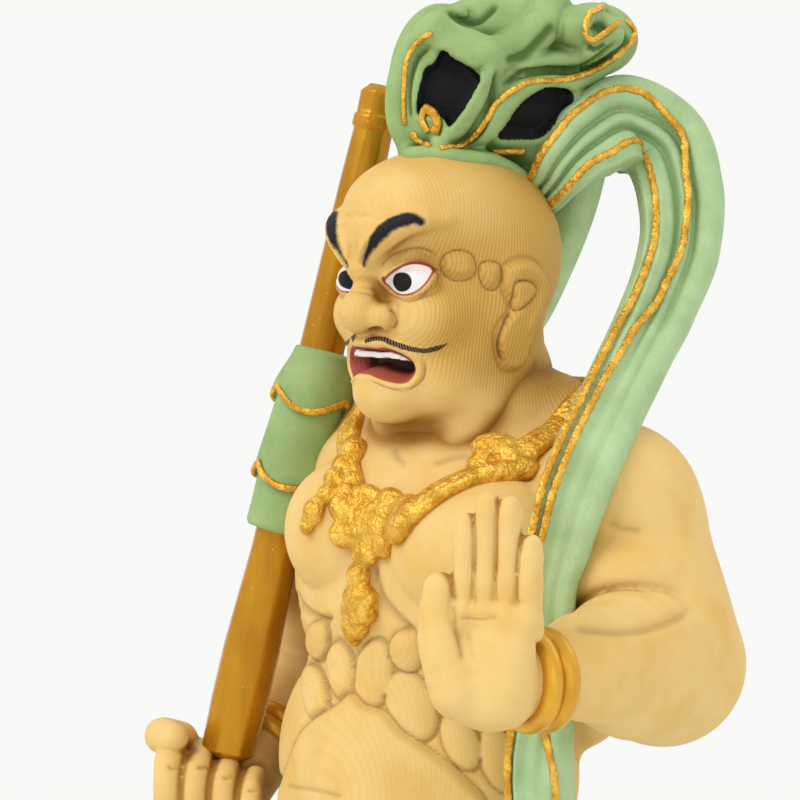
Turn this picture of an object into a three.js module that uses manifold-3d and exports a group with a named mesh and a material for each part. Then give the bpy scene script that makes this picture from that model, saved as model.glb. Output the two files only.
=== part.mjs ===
// Standing temple guardian carved in wood, with a club, a long scarf and a low rock plinth.
// Millimetres. +Z is up, the chest faces -Y and the figure's left side is +X.
// The origin is the centre of the plinth's flat underside.
import * as THREE from 'three';
import Module from 'manifold-3d';
import { ParametricGeometry } from 'three/addons/geometries/ParametricGeometry.js';
import { LoftGeometry } from 'three/addons/geometries/LoftGeometry.js';
import { mergeVertices } from 'three/addons/utils/BufferGeometryUtils.js';

const wasm = await Module();
wasm.setup();

// Driving sizes
const plinthHeight = 28;
const soleGap = 0.3;
const soleHeight = plinthHeight + soleGap;
const headHeight = 246;
const headYaw = THREE.MathUtils.degToRad(-12);
const fitGap = 0.6;
const carvingTolerance = { head: 0.85, hands: 0.85, body: 1.5, scarf: 0.9, fitted: 0.25 };

// Closed geometry to a solid: seams merged, collapsed triangles dropped, faces turned outward
function toSolid(geometry) {
  const bare = new THREE.BufferGeometry().copy(geometry);
  bare.deleteAttribute('normal');
  bare.deleteAttribute('uv');
  const merged = mergeVertices(bare, 1e-4);
  const position = merged.getAttribute('position');
  const index = merged.getIndex();
  const corner = [new THREE.Vector3(), new THREE.Vector3(), new THREE.Vector3()];
  const triangles = [];
  let volume = 0;
  for (let i = 0; i < index.count; i += 3) {
    const [a, b, c] = [index.getX(i), index.getX(i + 1), index.getX(i + 2)];
    if (a === b || b === c || a === c) continue;
    corner[0].fromBufferAttribute(position, a);
    corner[1].fromBufferAttribute(position, b);
    corner[2].fromBufferAttribute(position, c);
    volume += corner[0].dot(corner[1].clone().cross(corner[2]));
    triangles.push(a, b, c);
  }
  if (volume < 0) {
    for (let i = 0; i < triangles.length; i += 3) {
      [triangles[i], triangles[i + 1]] = [triangles[i + 1], triangles[i]];
    }
  }
  const mesh = new wasm.Mesh({
    numProp: 3,
    vertProperties: new Float32Array(position.array),
    triVerts: new Uint32Array(triangles),
  });
  return new wasm.Manifold(mesh);
}

function join(solids) {
  return wasm.Manifold.union(solids);
}

// The largest body left after cutting
function mainBody(solid) {
  const bodies = solid.decompose();
  bodies.sort((a, b) => b.volume() - a.volume());
  return bodies[0];
}

// Carving facets: an edge is closed up where the surface moves less than the tolerance.
// Each vertex keeps the sum of its face planes, as ten numbers of a symmetric matrix.
function planeSum(a, b, c) {
  const normal = b.clone().sub(a).cross(c.clone().sub(a)).normalize();
  const d = -normal.dot(a);
  const { x, y, z } = normal;
  return [x * x, x * y, x * z, x * d, y * y, y * z, y * d, z * z, z * d, d * d];
}

function planeError(q, p) {
  return q[0] * p.x * p.x + q[4] * p.y * p.y + q[7] * p.z * p.z + q[9]
    + 2 * (q[1] * p.x * p.y + q[2] * p.x * p.z + q[5] * p.y * p.z)
    + 2 * (q[3] * p.x + q[6] * p.y + q[8] * p.z);
}

function neighboursOf(vertex, faces, triangles) {
  const found = new Set();
  for (const face of faces[vertex]) triangles[face].forEach((v) => found.add(v));
  found.delete(vertex);
  return found;
}

// True when every face round the moved vertex keeps its side and isn't a sliver
function keepsShape(vertex, other, target, points, faces, triangles) {
  for (const face of faces[vertex]) {
    const triangle = triangles[face];
    if (triangle.includes(other)) continue;
    const before = triangle.map((v) => points[v]);
    const after = triangle.map((v) => (v === vertex ? target : points[v]));
    const oldNormal = before[1].clone().sub(before[0]).cross(before[2].clone().sub(before[0]));
    const newNormal = after[1].clone().sub(after[0]).cross(after[2].clone().sub(after[0]));
    const area = newNormal.length();
    const longest = Math.max(after[0].distanceTo(after[1]), after[1].distanceTo(after[2]), after[2].distanceTo(after[0]));
    if (area / longest < Math.min(0.25, oldNormal.length() / longest)) return false;
    if (oldNormal.length() > 1e-3 && newNormal.dot(oldNormal) < 0.5 * area * oldNormal.length()) return false;
  }
  return true;
}

function faceted(solid, toleranceAt) {
  const { vertProperties, triVerts, numProp } = solid.getMesh();
  const points = [];
  for (let i = 0; i < vertProperties.length; i += numProp) {
    points.push(new THREE.Vector3(vertProperties[i], vertProperties[i + 1], vertProperties[i + 2]));
  }
  let triangles = [];
  for (let i = 0; i < triVerts.length; i += 3) triangles.push(Array.from(triVerts.slice(i, i + 3)));
  const sums = points.map(() => new Array(10).fill(0));
  for (const triangle of triangles) {
    const plane = planeSum(...triangle.map((v) => points[v]));
    for (const v of triangle) plane.forEach((value, k) => { sums[v][k] += value; });
  }
  for (let pass = 0, closed = 1; pass < 40 && closed > 0; pass += 1) {
    closed = 0;
    const faces = points.map(() => []);
    triangles.forEach((triangle, face) => triangle.forEach((v) => faces[v].push(face)));
    const edges = [];
    for (const triangle of triangles) {
      triangle.forEach((a, k) => {
        const b = triangle[(k + 1) % 3];
        if (a > b) return;
        const sum = sums[a].map((value, j) => value + sums[b][j]);
        const spots = [points[a], points[b], points[a].clone().lerp(points[b], 0.5)];
        const errors = spots.map((spot) => planeError(sum, spot));
        const best = errors.indexOf(Math.min(...errors));
        if (errors[best] < toleranceAt(spots[best]) ** 2) {
          edges.push({ a, b, sum, spot: spots[best].clone(), error: errors[best] });
        }
      });
    }
    edges.sort((first, second) => first.error - second.error);
    const touched = new Uint8Array(points.length);
    for (const { a, b, sum, spot } of edges) {
      if (touched[a] || touched[b]) continue;
      const aroundA = neighboursOf(a, faces, triangles);
      const aroundB = neighboursOf(b, faces, triangles);
      const shared = [...aroundA].filter((v) => aroundB.has(v));
      if (shared.length !== 2 || shared.some((v) => faces[v].length < 4)) continue;
      if ([...aroundA, ...aroundB].some((v) => touched[v])) continue;
      if (!keepsShape(a, b, spot, points, faces, triangles)) continue;
      if (!keepsShape(b, a, spot, points, faces, triangles)) continue;
      points[a].copy(spot);
      sums[a] = sum;
      for (const face of faces[b]) {
        triangles[face] = triangles[face].map((v) => (v === b ? a : v));
      }
      [a, b, ...aroundA, ...aroundB].forEach((v) => { touched[v] = 1; });
      closed += 1;
    }
    triangles = triangles.filter(([a, b, c]) => a !== b && b !== c && a !== c);
  }
  const used = new Map();
  const kept = [];
  const renumbered = triangles.flat().map((v) => {
    if (!used.has(v)) {
      used.set(v, kept.length / 3);
      kept.push(points[v].x, points[v].y, points[v].z);
    }
    return used.get(v);
  });
  return new wasm.Manifold(new wasm.Mesh({
    numProp: 3, vertProperties: new Float32Array(kept), triVerts: new Uint32Array(renumbered),
  }));
}

function toMesh(solid, name, color) {
  const { vertProperties, triVerts, numProp } = solid.getMesh();
  const positions = new Float32Array((vertProperties.length / numProp) * 3);
  for (let i = 0; i < positions.length / 3; i += 1) {
    positions[3 * i] = vertProperties[numProp * i];
    positions[3 * i + 1] = vertProperties[numProp * i + 1];
    positions[3 * i + 2] = vertProperties[numProp * i + 2];
  }
  const geometry = new THREE.BufferGeometry();
  geometry.setAttribute('position', new THREE.BufferAttribute(positions, 3));
  geometry.setIndex(Array.from(triVerts));
  geometry.computeVertexNormals();
  const mesh = new THREE.Mesh(geometry, new THREE.MeshStandardMaterial({ color }));
  mesh.name = name;
  return mesh;
}

// Rounded swelling with three half sizes, turned in degrees about X, Y and then Z
function swelling(at, size, { turn = [0, 0, 0], detail = 10, grow = 0 } = {}) {
  const geometry = new THREE.SphereGeometry(1, detail, Math.max(6, Math.round(detail * 0.65)));
  geometry.rotateX(Math.PI / 2);
  geometry.scale(size[0] + grow, size[1] + grow, size[2] + grow);
  geometry.rotateX(THREE.MathUtils.degToRad(turn[0]));
  geometry.rotateY(THREE.MathUtils.degToRad(turn[1]));
  geometry.rotateZ(THREE.MathUtils.degToRad(turn[2]));
  geometry.translate(...at);
  return toSolid(geometry);
}

// Smooth path through stations of the form [x, y, z, radius, second radius]
function stationsAlong(stations, rings, closed = false) {
  const curve = new THREE.CatmullRomCurve3(
    stations.map((s) => new THREE.Vector3(s[0], s[1], s[2])), closed, 'centripetal');
  const spans = closed ? stations.length : stations.length - 1;
  const count = closed ? rings : rings + 1;
  return Array.from({ length: count }, (_, i) => {
    const t = i / rings;
    const place = t * spans;
    const k = Math.min(Math.floor(place), spans - 1);
    const mix = place - k;
    const ease = mix * mix * (3 - 2 * mix);
    const from = stations[k];
    const to = stations[(k + 1) % stations.length];
    const values = [];
    for (let j = 3; j < from.length; j += 1) values.push(from[j] + (to[j] - from[j]) * ease);
    return { point: curve.getPoint(t), tangent: curve.getTangent(t), values };
  });
}

function crossSection(point, side, lift, across, along, sides) {
  return Array.from({ length: sides }, (_, j) => {
    const angle = (2 * Math.PI * (j + 0.5)) / sides;
    return point.clone()
      .addScaledVector(side, across * Math.cos(angle))
      .addScaledVector(lift, along * Math.sin(angle));
  });
}

// Limb with a round or oval section and rounded ends
function limb(stations, { sides = 8, rings = 0, up = [0, 1, 0], grow = 0 } = {}) {
  const reference = new THREE.Vector3(...up);
  const path = stationsAlong(stations, rings || (stations.length - 1) * 2);
  const sections = [];
  const last = path.length - 1;
  path.forEach(({ point, tangent, values }, i) => {
    const side = new THREE.Vector3().crossVectors(reference, tangent).normalize();
    const lift = new THREE.Vector3().crossVectors(tangent, side).normalize();
    const across = values[0] + grow;
    const along = (values[1] ?? values[0]) + grow;
    const reach = Math.min(across, along);
    const endRings = [75, 40].map((degrees) => {
      const angle = THREE.MathUtils.degToRad(degrees);
      return { offset: reach * Math.sin(angle), scale: Math.cos(angle) };
    });
    if (i === 0) {
      endRings.forEach(({ offset, scale }) => {
        sections.push(crossSection(point.clone().addScaledVector(tangent, -offset),
          side, lift, across * scale, along * scale, sides));
      });
    }
    sections.push(crossSection(point, side, lift, across, along, sides));
    if (i === last) {
      endRings.reverse().forEach(({ offset, scale }) => {
        sections.push(crossSection(point.clone().addScaledVector(tangent, offset),
          side, lift, across * scale, along * scale, sides));
      });
    }
  });
  return toSolid(new LoftGeometry(sections, { closed: true, capStart: true, capEnd: true }));
}

// Closed ring of cloth or cord through stations
function loop(stations, { sides = 6, rings = 16, grow = 0 } = {}) {
  const path = stationsAlong(stations, rings, true);
  const middle = path.reduce((sum, p) => sum.add(p.point), new THREE.Vector3()).divideScalar(path.length);
  const sections = path.map(({ point, tangent, values }) => {
    const outward = point.clone().sub(middle);
    outward.addScaledVector(tangent, -outward.dot(tangent)).normalize();
    const lift = new THREE.Vector3().crossVectors(tangent, outward);
    return crossSection(point, outward, lift, values[0] + grow, (values[1] ?? values[0]) + grow, sides);
  });
  sections.push(sections[0].map((p) => p.clone()));
  return toSolid(new LoftGeometry(sections, { closed: true, capStart: false, capEnd: false }));
}

// Head forms are placed in the head's own frame and turned to the figure's right
function headPoint(x, y, z) {
  return [
    x * Math.cos(headYaw) - y * Math.sin(headYaw),
    x * Math.sin(headYaw) + y * Math.cos(headYaw),
    headHeight + z,
  ];
}

function headForm(at, size, options = {}) {
  const turn = options.turn ?? [0, 0, 0];
  const yaw = THREE.MathUtils.radToDeg(headYaw);
  return swelling(headPoint(...at), size, { ...options, turn: [turn[0], turn[1], turn[2] + yaw] });
}

function headParts(grow) {
  const parts = [
    headForm([0, 2.6, 4], [13.6, 15.2, 14], { detail: 18, grow }),
    headForm([0, -3.4, 8.6], [9.6, 9, 7.4], { detail: 12, grow }),
    headForm([0, -2.4, -5], [12.2, 11.2, 12.2], { detail: 16, grow }),
    headForm([0, -4.6, -10.8], [10.2, 9, 7.4], { detail: 14, grow }),
    headForm([0, -11.6, -15.2], [4.6, 3.4, 3.2], { grow }),
    headForm([0, -12.2, -0.6], [2, 2.6, 4.6], { grow, turn: [-12, 0, 0] }),
    headForm([0, -14.9, -3.8], [2.5, 2.8, 2.5], { grow, detail: 8 }),
    headForm([0, -12.4, -7.6], [6, 2.6, 1.7], { grow, detail: 10 }),
    headForm([0, -12, -13], [5.2, 2.6, 1.6], { grow, detail: 10 }),
  ];
  for (const s of [-1, 1]) {
    parts.push(
      headForm([s * 2.5, -13.4, -4.7], [1.6, 1.7, 1.5], { grow, detail: 6 }),
      headForm([s * 6.6, -7.8, -4.8], [5.6, 4.4, 5.2], { grow, turn: [0, 0, s * -30] }),
      headForm([s * 6, -11, 4.4], [5.4, 2.6, 2], { grow, turn: [0, s * -24, s * 22] }),
      headForm([s * 6.4, -10.6, 0.7], [2.8, 2.2, 2], { grow, detail: 8 }),
      headForm([s * 11, -6.6, 1.6], [2.2, 2.6, 1.8], { grow, detail: 8 }),
      headForm([s * 12.6, -2.6, 0.6], [1.8, 2.5, 1.9], { grow, detail: 8 }),
      headForm([s * 13.4, 2.2, -1.4], [1.9, 3.6, 5.4], { grow, turn: [-8, 0, s * -14] }),
      headForm([s * 13, 1.4, -8.2], [1.6, 2.2, 3.8], { grow, detail: 8 }),
      headForm([s * 7.2, -4.2, -10.8], [4.6, 6, 5.8], { grow }),
    );
  }
  return parts;
}

function mouthCut() {
  return headForm([0, -14.6, -10.2], [5.2, 4.4, 2.3], { detail: 12 });
}

// Topknot: a bun of hair held by loops of cloth, heaped up to the back and left
function topknotParts(grow) {
  const frontWindow = [
    [-0.4, -4.8, 265.6, 2.2, 2.6], [-5.4, -4.2, 268, 2.2, 2.6], [-6.6, -3.2, 273.4, 2.4, 2.8],
    [-4.2, -1.2, 278.6, 3, 3], [0.8, 0, 280, 3, 3], [4.8, -0.8, 275, 2.2, 2.8], [3.6, -3.6, 269.4, 1.8, 2.8],
  ];
  const sideWindow = [
    [4.4, -3.2, 265.6, 2, 2.8], [5.2, -0.8, 274.4, 2, 2.8], [9.4, 1.6, 275.8, 2.6, 2.8],
    [13, 5.4, 274.2, 2.6, 3], [14.2, 8.6, 269.4, 2.4, 3], [11, 4, 265, 2, 3],
  ];
  return [
    swelling([2.4, 3.4, 269.6], [9.4, 7.6, 9.4], { detail: 12, grow }),
    loop(frontWindow, { rings: 14, grow }),
    loop(sideWindow, { rings: 14, grow }),
    swelling([0.6, 3.4, 280.6], [5.8, 5.6, 4.6], { grow, turn: [0, -10, 0] }),
    swelling([7.2, 6.2, 280.4], [6.4, 6, 4.8], { grow, turn: [0, 12, 30] }),
    swelling([13.2, 11.2, 280], [5.4, 4.6, 3.2], { grow, turn: [0, 10, 30] }),
    swelling([15.4, 10.8, 276.8], [4.2, 3.8, 2.6], { grow }),
    swelling([7.5, 11.6, 270], [8, 6.4, 9], { grow }),
    swelling([-0.6, -6, 266.8], [2.2, 1.5, 2.4], { grow, detail: 6 }),
    loop([[-1.4, -5.2, 263.4, 2, 1.7], [4.8, -4.4, 263, 2.2, 1.8], [10.2, 0.6, 261.4, 2.4, 2.2],
      [10.8, 8.6, 259, 2.6, 2.6], [4, 13.6, 259, 2.6, 2.4], [-4.4, 9.6, 261.6, 2.4, 2.2],
      [-5.8, 0.4, 263, 2, 1.8]], { rings: 14, grow }),
  ];
}

function torsoParts(grow) {
  const big = { detail: 20, grow };
  const mid = { detail: 14, grow };
  const parts = [
    swelling([-0.8, 0.4, 206], [24.4, 15.4, 23.5], big),
    swelling([1, 2.6, 220.5], [25.6, 11.6, 9.5], mid),
    swelling([-3, -1.6, 181], [22.4, 17, 21], big),
    swelling([-4, 1, 160], [22.6, 16.6, 17], big),
    limb([[0, 5, 222, 15, 12.5], [1, 3.6, 230, 12.2, 11], [1.2, 2.4, 240, 11, 10.8]], { sides: 12, grow }),
    swelling([12.6, -8.2, 212.8], [13.6, 8.4, 9.6], { detail: 14, grow, turn: [0, -8, 6] }),
    swelling([-11.4, -6.8, 213], [10, 8, 9.4], { detail: 14, grow, turn: [0, 8, -8] }),
    swelling([-1, -7.8, 178], [13.4, 13, 15], { detail: 14, grow }),
  ];
  // Trapezius, back and flank muscles on both sides
  for (const s of [-1, 1]) {
    parts.push(
      limb([[s * 7, 7, 233, 5.4], [s * 14, 6.6, 228, 6], [s * 23, 6, 221.4, 6]], { sides: 8, grow }),
      swelling([s * 14.5, 8, 203], [11.4, 8.4, 19], { detail: 12, grow }),
      swelling([s * 12, 10.6, 216], [10, 6.4, 10], { detail: 10, grow }),
      swelling([s * 6 - 1, 11.6, 188], [6.4, 5.4, 20], { detail: 10, grow }),
      swelling([s * 7 - 4, 9.6, 155], [12.4, 10, 13], { detail: 12, grow }),
    );
  }
  // Rows of rib and belly pads below the chest, the same size pads set round the waist
  const padRows = [
    { z: 197, xs: [-5.6, 4.2], y: -12.2, size: [5.2, 4.8, 5.4] },
    { z: 196, xs: [-13.2, 11.8], y: -9.6, size: [4.8, 5, 5.2] },
    { z: 190, xs: [-10.2, 9], y: -12.6, size: [5, 4.4, 4.6] },
    { z: 189, xs: [-17, 15.4], y: -7, size: [4.4, 5.6, 5.6] },
    { z: 180.4, xs: [-19.2, 14.4], y: -7.2, size: [4.8, 6, 6] },
    { z: 171.6, xs: [-20.4, 14.6], y: -5.6, size: [4.8, 6.6, 6.4] },
  ];
  for (const { z, xs, y, size } of padRows) {
    for (const x of xs) parts.push(swelling([x, y, z], size, { detail: 8, grow, turn: [0, 0, x * 2] }));
  }
  return parts;
}

// Left arm: upper arm hanging out, forearm raised forward, open hand up
const leftElbow = [34, -1, 200.4];
const leftWrist = [37.2, -30, 203.5];
const leftPalm = { at: [34.6, -36.4, 205.6], yaw: THREE.MathUtils.degToRad(20) };

function leftHandPoint(across, out, z) {
  const c = Math.cos(leftPalm.yaw);
  const s = Math.sin(leftPalm.yaw);
  return [leftPalm.at[0] + across * c + out * s, leftPalm.at[1] + across * s - out * c, z];
}

function leftArmParts(grow) {
  const parts = [
    swelling([25.8, 1, 217], [11.2, 11.6, 12.3], { detail: 14, grow }),
    limb([[27, 1, 214, 10.8], [30.8, 0, 207, 10.6], [...leftElbow, 10.2]], { sides: 10, grow }),
    swelling([30.6, -4.4, 210.6], [8.6, 8.6, 6.4], { detail: 12, grow }),
    limb([[...leftElbow, 10.2], [34.8, -9, 201.2, 9.6], [36, -19.6, 202.8, 7.2], [...leftWrist, 5.8],
      [36.2, -34, 203.6, 5.2]], { sides: 12, up: [0, 0, 1], grow }),
    limb([[36.5, -24.8, 203.1, 6.5], [36.7, -26.4, 203.2, 7.1], [36.9, -28, 203.4, 6.6],
      [37.1, -29.6, 203.5, 7]], { sides: 12, rings: 6, up: [0, 0, 1], grow: grow - 0.2 }),
    limb([[...leftHandPoint(-0.4, 0, 201.6), 6, 3.8], [...leftHandPoint(0, 0, 206.6), 6.8, 3.2],
      [...leftHandPoint(1.8, 0, 211), 6, 2.3]], { sides: 10, grow }),
    limb([[...leftHandPoint(-3.4, 1.4, 202.4), 3.6], [...leftHandPoint(-6, 1.6, 207), 2.8],
      [...leftHandPoint(-7, 1.2, 211), 2.2], [...leftHandPoint(-7, 0.8, 214), 1.8]], { sides: 7, rings: 4, grow }),
    swelling(leftHandPoint(3.6, 1.2, 203.6), [3.4, 2.6, 4.8], { detail: 8, grow }),
  ];
  const tips = [220.4, 222.8, 221.6, 219];
  tips.forEach((tip, i) => {
    const across = 2 + 2.75 * (i - 1.5);
    parts.push(limb([[...leftHandPoint(across, 0.2, 210.4), 1.55], [...leftHandPoint(across, 0.4, 215), 1.45],
      [...leftHandPoint(across, 0, tip - 1.2), 1.2]], { sides: 6, rings: 3, grow }));
  });
  return parts;
}

// Right arm: drawn back, fist at the hip closed round the club
const fist = { at: [-34, -11, 175], across: [0.82, 0.57, -0.15], out: [0.57, -0.82, 0] };

function fistPoint(across, out, up) {
  return [0, 1, 2].map((k) => fist.at[k] + across * fist.across[k] + out * fist.out[k] + (k === 2 ? up : 0));
}

function rightArmParts(grow) {
  const parts = [
    swelling([-25.6, 7.4, 216], [10.4, 11, 12], { detail: 14, grow }),
    limb([[-27, 9, 213, 10], [-32.4, 11, 201, 8.8], [-37, 12, 190.4, 7.4]], { sides: 12, grow }),
    swelling([-31.4, 6, 204], [7.4, 7, 8.6], { detail: 10, grow }),
    limb([[-37, 12, 190.4, 7.2], [-36.2, 7.6, 184.6, 7.6], [-34.8, 1.6, 178.6, 6], [-34.4, -4, 176, 5.2]],
      { sides: 12, up: [1, 0, 0], grow }),
    limb([[-35, 2.6, 179.6, 6.6], [-34.9, 0.8, 178.4, 7], [-34.8, -0.8, 177.6, 6.6]],
      { sides: 12, rings: 4, up: [1, 0, 0], grow: grow - 0.2 }),
    limb([[...fistPoint(-3.6, -4.6, -0.4), 5], [...fistPoint(2.8, -4.6, -0.4), 5]], { sides: 10, up: [0, 0, 1], grow }),
    swelling(fistPoint(0, -0.6, -3.2), [7.6, 6.2, 4.2], { detail: 12, grow, turn: [0, 0, 35] }),
    limb([[...fistPoint(-6, -4, 4), 2.8], [...fistPoint(-7.4, 0.6, 5.6), 2.6], [...fistPoint(-5.2, 4, 6.4), 2.1]],
      { sides: 8, up: [0, 0, 1], grow }),
  ];
  for (let i = 0; i < 4; i += 1) {
    const across = -5.8 + 3.9 * i;
    const radius = 2.05 - 0.08 * i;
    parts.push(limb([[...fistPoint(across, 0, -7), radius], [...fistPoint(across, 4.3, -5.2), radius],
      [...fistPoint(across, 5.4, 0), radius], [...fistPoint(across, 4.2, 4.6 - 0.6 * i), radius],
      [...fistPoint(across, 1.4, 5.6 - 0.6 * i), radius * 0.9]],
    { sides: 7, rings: 8, up: fist.across, grow }));
  }
  return parts;
}

// Skirt: folds deepen to the hem and the cloth swings to the figure's left
const skirt = {
  waist: 169, hem: 84, topSize: [22.6, 17.6], hemSize: [34, 26], folds: 9, recess: 14,
};

function skirtSolid(grow) {
  const geometry = new ParametricGeometry((u, v, target) => {
    const angle = u * 2 * Math.PI;
    // 0 to 0.1 closes the waist, 0.1 to 0.75 is the outer face, then the hem and the hollow below
    const drop = THREE.MathUtils.clamp((v - 0.1) / 0.65, 0, 1);
    const spread = drop ** 0.8;
    const wave = Math.cos(skirt.folds * angle + 2.4 * drop) + 0.5 * Math.cos(5 * angle + 1 + drop);
    const fold = 1 + (0.02 + 0.085 * drop) * wave;
    const hemHeight = skirt.hem - 7 * Math.cos(angle - 0.5) + 5 * Math.cos(2 * angle + 0.4)
      + 2.5 * Math.cos(skirt.folds * angle);
    let reach = fold;
    let z = skirt.waist + (hemHeight - skirt.waist) * drop;
    if (v < 0.1) {
      reach = fold * (v / 0.1);
    }
    if (v > 0.75) {
      const inward = (v - 0.75) / 0.25;
      reach = fold * Math.max(0, 1 - 0.12 * Math.min(1, inward * 3) - 0.88 * Math.max(0, inward * 1.5 - 0.5));
      z = hemHeight + skirt.recess * Math.min(1, inward * 1.8) - (hemHeight - skirt.hem) * Math.min(1, inward);
    }
    const sizeX = skirt.topSize[0] + (skirt.hemSize[0] - skirt.topSize[0]) * spread;
    const sizeY = skirt.topSize[1] + (skirt.hemSize[1] - skirt.topSize[1]) * spread;
    const swing = 7 * drop * drop;
    target.set(
      -4 + 4 * drop + swing + (sizeX + grow) * reach * Math.cos(angle),
      0.6 - 1.6 * drop + (sizeY + grow) * reach * Math.sin(angle),
      z,
    );
  }, 72, 14);
  return toSolid(geometry);
}

function sashParts(grow) {
  const waistLoop = [];
  for (let i = 0; i < 10; i += 1) {
    const angle = (2 * Math.PI * i) / 10;
    waistLoop.push([-4 + 22.4 * Math.cos(angle), 0.6 + 17.6 * Math.sin(angle), 167.4 + Math.cos(3 * angle), 2, 3.6]);
  }
  return [
    loop(waistLoop, { sides: 6, rings: 24, grow }),
    swelling([-3.6, -18, 167], [4.6, 3.2, 3.8], { grow }),
    limb([[-4.4, -18.4, 165, 2.6, 1.7], [-7, -21.6, 150, 3.2, 1.7], [-6, -25, 132, 3.8, 1.7], [-8.4, -26.6, 112, 4.2, 1.8]],
      { sides: 6, up: [0, -1, 0], grow }),
    limb([[-2.4, -18.4, 165, 2.6, 1.7], [1, -21.6, 152, 3, 1.7], [1.6, -24.4, 138, 3.6, 1.7], [5, -26.2, 122, 3.8, 1.8]],
      { sides: 6, up: [0, -1, 0], grow }),
  ];
}

// Legs: weight on the figure's right leg, the left leg set forward and out
const legs = [
  { side: -1, hip: [-13, 1, 140], knee: [-16, -5, 96], calf: [-17.4, 3, 74], ankle: [-18, 5, 44], turn: -16 },
  { side: 1, hip: [7, 0, 140], knee: [15.6, -11, 98], calf: [18, -3, 75], ankle: [20, -2, 44], turn: 22 },
];

function legParts(grow) {
  const parts = [];
  for (const { hip, knee, calf, ankle, turn } of legs) {
    const yaw = THREE.MathUtils.degToRad(turn);
    const footPoint = (across, ahead, z) => [
      ankle[0] + across * Math.cos(yaw) + ahead * Math.sin(yaw),
      ankle[1] + across * Math.sin(yaw) - ahead * Math.cos(yaw),
      z,
    ];
    parts.push(
      limb([[...hip, 13.6], [(hip[0] + knee[0]) / 2, (hip[1] + knee[1]) / 2 - 1, 118, 12.4], [...knee, 10]],
        { sides: 10, grow }),
      limb([[...knee, 9.6], [...calf, 9.2, 10.6], [ankle[0], ankle[1] + 0.8, 58, 6.6, 7.6], [...ankle, 5.2, 6],
        [ankle[0], ankle[1], 36, 5.6, 6.6]], { sides: 10, rings: 10, grow }),
      swelling([knee[0], knee[1] - 4.8, knee[2] - 1], [5.8, 4.8, 6.6], { detail: 8, grow }),
      // Foot: heel, instep and ball, flattened below by the sole plane
      limb([[...footPoint(0, -6, 33), 5.2, 4.8], [...footPoint(0, 1, 34.4), 5.2, 6.2],
        [...footPoint(0.4, 11, 32.4), 6, 4.4], [...footPoint(0.6, 18.4, 31), 6.8, 3]],
      { sides: 10, rings: 6, up: [0, 0, 1], grow }),
    );
    for (let i = 0; i < 5; i += 1) {
      const across = -Math.sign(turn) * (5.4 - 2.75 * i);
      const reachOut = 21.4 - 0.35 * i * i;
      const radius = i === 0 ? 2.4 : 1.7;
      parts.push(limb([[...footPoint(across, 17.6, 30.8), radius], [...footPoint(across, reachOut, 30.2), radius]],
        { sides: 6, rings: 2, up: [0, 0, 1], grow }));
    }
  }
  return parts;
}

// Necklace lying on the shoulders and chest, with a centre plaque and pendant
function necklaceParts(grow) {
  const cord = [
    [17.6, 8, 231.6, 1.7, 2.6], [18.4, 0.6, 229.6, 1.7, 2.7], [15.4, -8.2, 224, 1.7, 2.8], [9.6, -13.6, 219.4, 1.7, 2.8],
    [3.4, -16.4, 216.2, 1.8, 3], [-2.4, -15.8, 216.8, 1.8, 3], [-7, -13, 221, 1.7, 2.6], [-12, -8.4, 226, 1.6, 2.4],
    [-15.6, 0.4, 230.6, 1.6, 2.2], [-14, 9.4, 232.4, 1.6, 2.2], [0, 15.4, 232.6, 1.6, 2.2], [12, 13, 232.4, 1.6, 2.2],
  ];
  return [
    loop(cord, { sides: 6, rings: 36, grow }),
    swelling([0.6, -16.6, 215], [5.2, 2.4, 4.4], { grow }),
    swelling([15.2, -9.4, 223.6], [3.6, 2.2, 3.2], { grow, detail: 8 }),
    swelling([-7, -13.4, 221.4], [3, 2.2, 3], { grow, detail: 8 }),
    swelling([0.8, -17.2, 209.6], [1.9, 1.8, 1.8], { grow, detail: 8 }),
    swelling([0.8, -17.6, 204.4], [3, 2.2, 3.9], { grow, detail: 8 }),
    swelling([-12.6, -13.6, 217.4], [1.6, 1.8, 1.6], { grow, detail: 6 }),
    swelling([-14, -13.6, 213.6], [1.9, 1.8, 2.4], { grow, detail: 6 }),
  ];
}

function figureSolid(grow) {
  const parts = [
    ...headParts(grow), ...topknotParts(grow), ...torsoParts(grow), ...leftArmParts(grow),
    ...rightArmParts(grow), skirtSolid(grow), ...sashParts(grow), ...legParts(grow), ...necklaceParts(grow),
  ];
  return join(parts);
}

// Club: octagonal shaft waisted above the fist, with a ring and a domed end
const clubAxis = { foot: [-34.2, -10.4, 178.5], head: [-18.8, 8, 273.2] };

function clubSolid(grow) {
  const foot = new THREE.Vector3(...clubAxis.foot);
  const head = new THREE.Vector3(...clubAxis.head);
  const direction = head.clone().sub(foot);
  const length = direction.length();
  direction.normalize();
  const side = new THREE.Vector3().crossVectors(new THREE.Vector3(0, 1, 0), direction).normalize();
  const lift = new THREE.Vector3().crossVectors(direction, side);
  const profile = [
    [0, 2.6], [1.2, 4], [8, 4.3], [28, 3.1], [34, 3], [52, 3.5], [84, 3.2], [length - 6.4, 3],
    [length - 6, 3.6], [length - 4.6, 3.6], [length - 4.2, 3.1], [length - 1.2, 3.2], [length, 2],
  ];
  const sections = profile.map(([along, radius], i) => {
    const end = i === profile.length - 1 ? grow : (i === 0 ? -grow : 0);
    const point = foot.clone().addScaledVector(direction, along + end);
    return crossSection(point, side, lift, radius + grow, radius + grow, 8);
  });
  return toSolid(new LoftGeometry(sections, { closed: true, capStart: true, capEnd: true }));
}

// Scarf strand: a thick band with a hollowed, fluted face between raised hems
const fluteProfile = [
  [-1, 0.5], [-0.86, 1], [-0.5, 0.5], [-0.16, 0.84], [0.16, 0.5], [0.5, 0.84], [0.86, 1], [1, 0.5],
  [1, -0.5], [0.7, -1], [-0.7, -1], [-1, -0.5],
];

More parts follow.
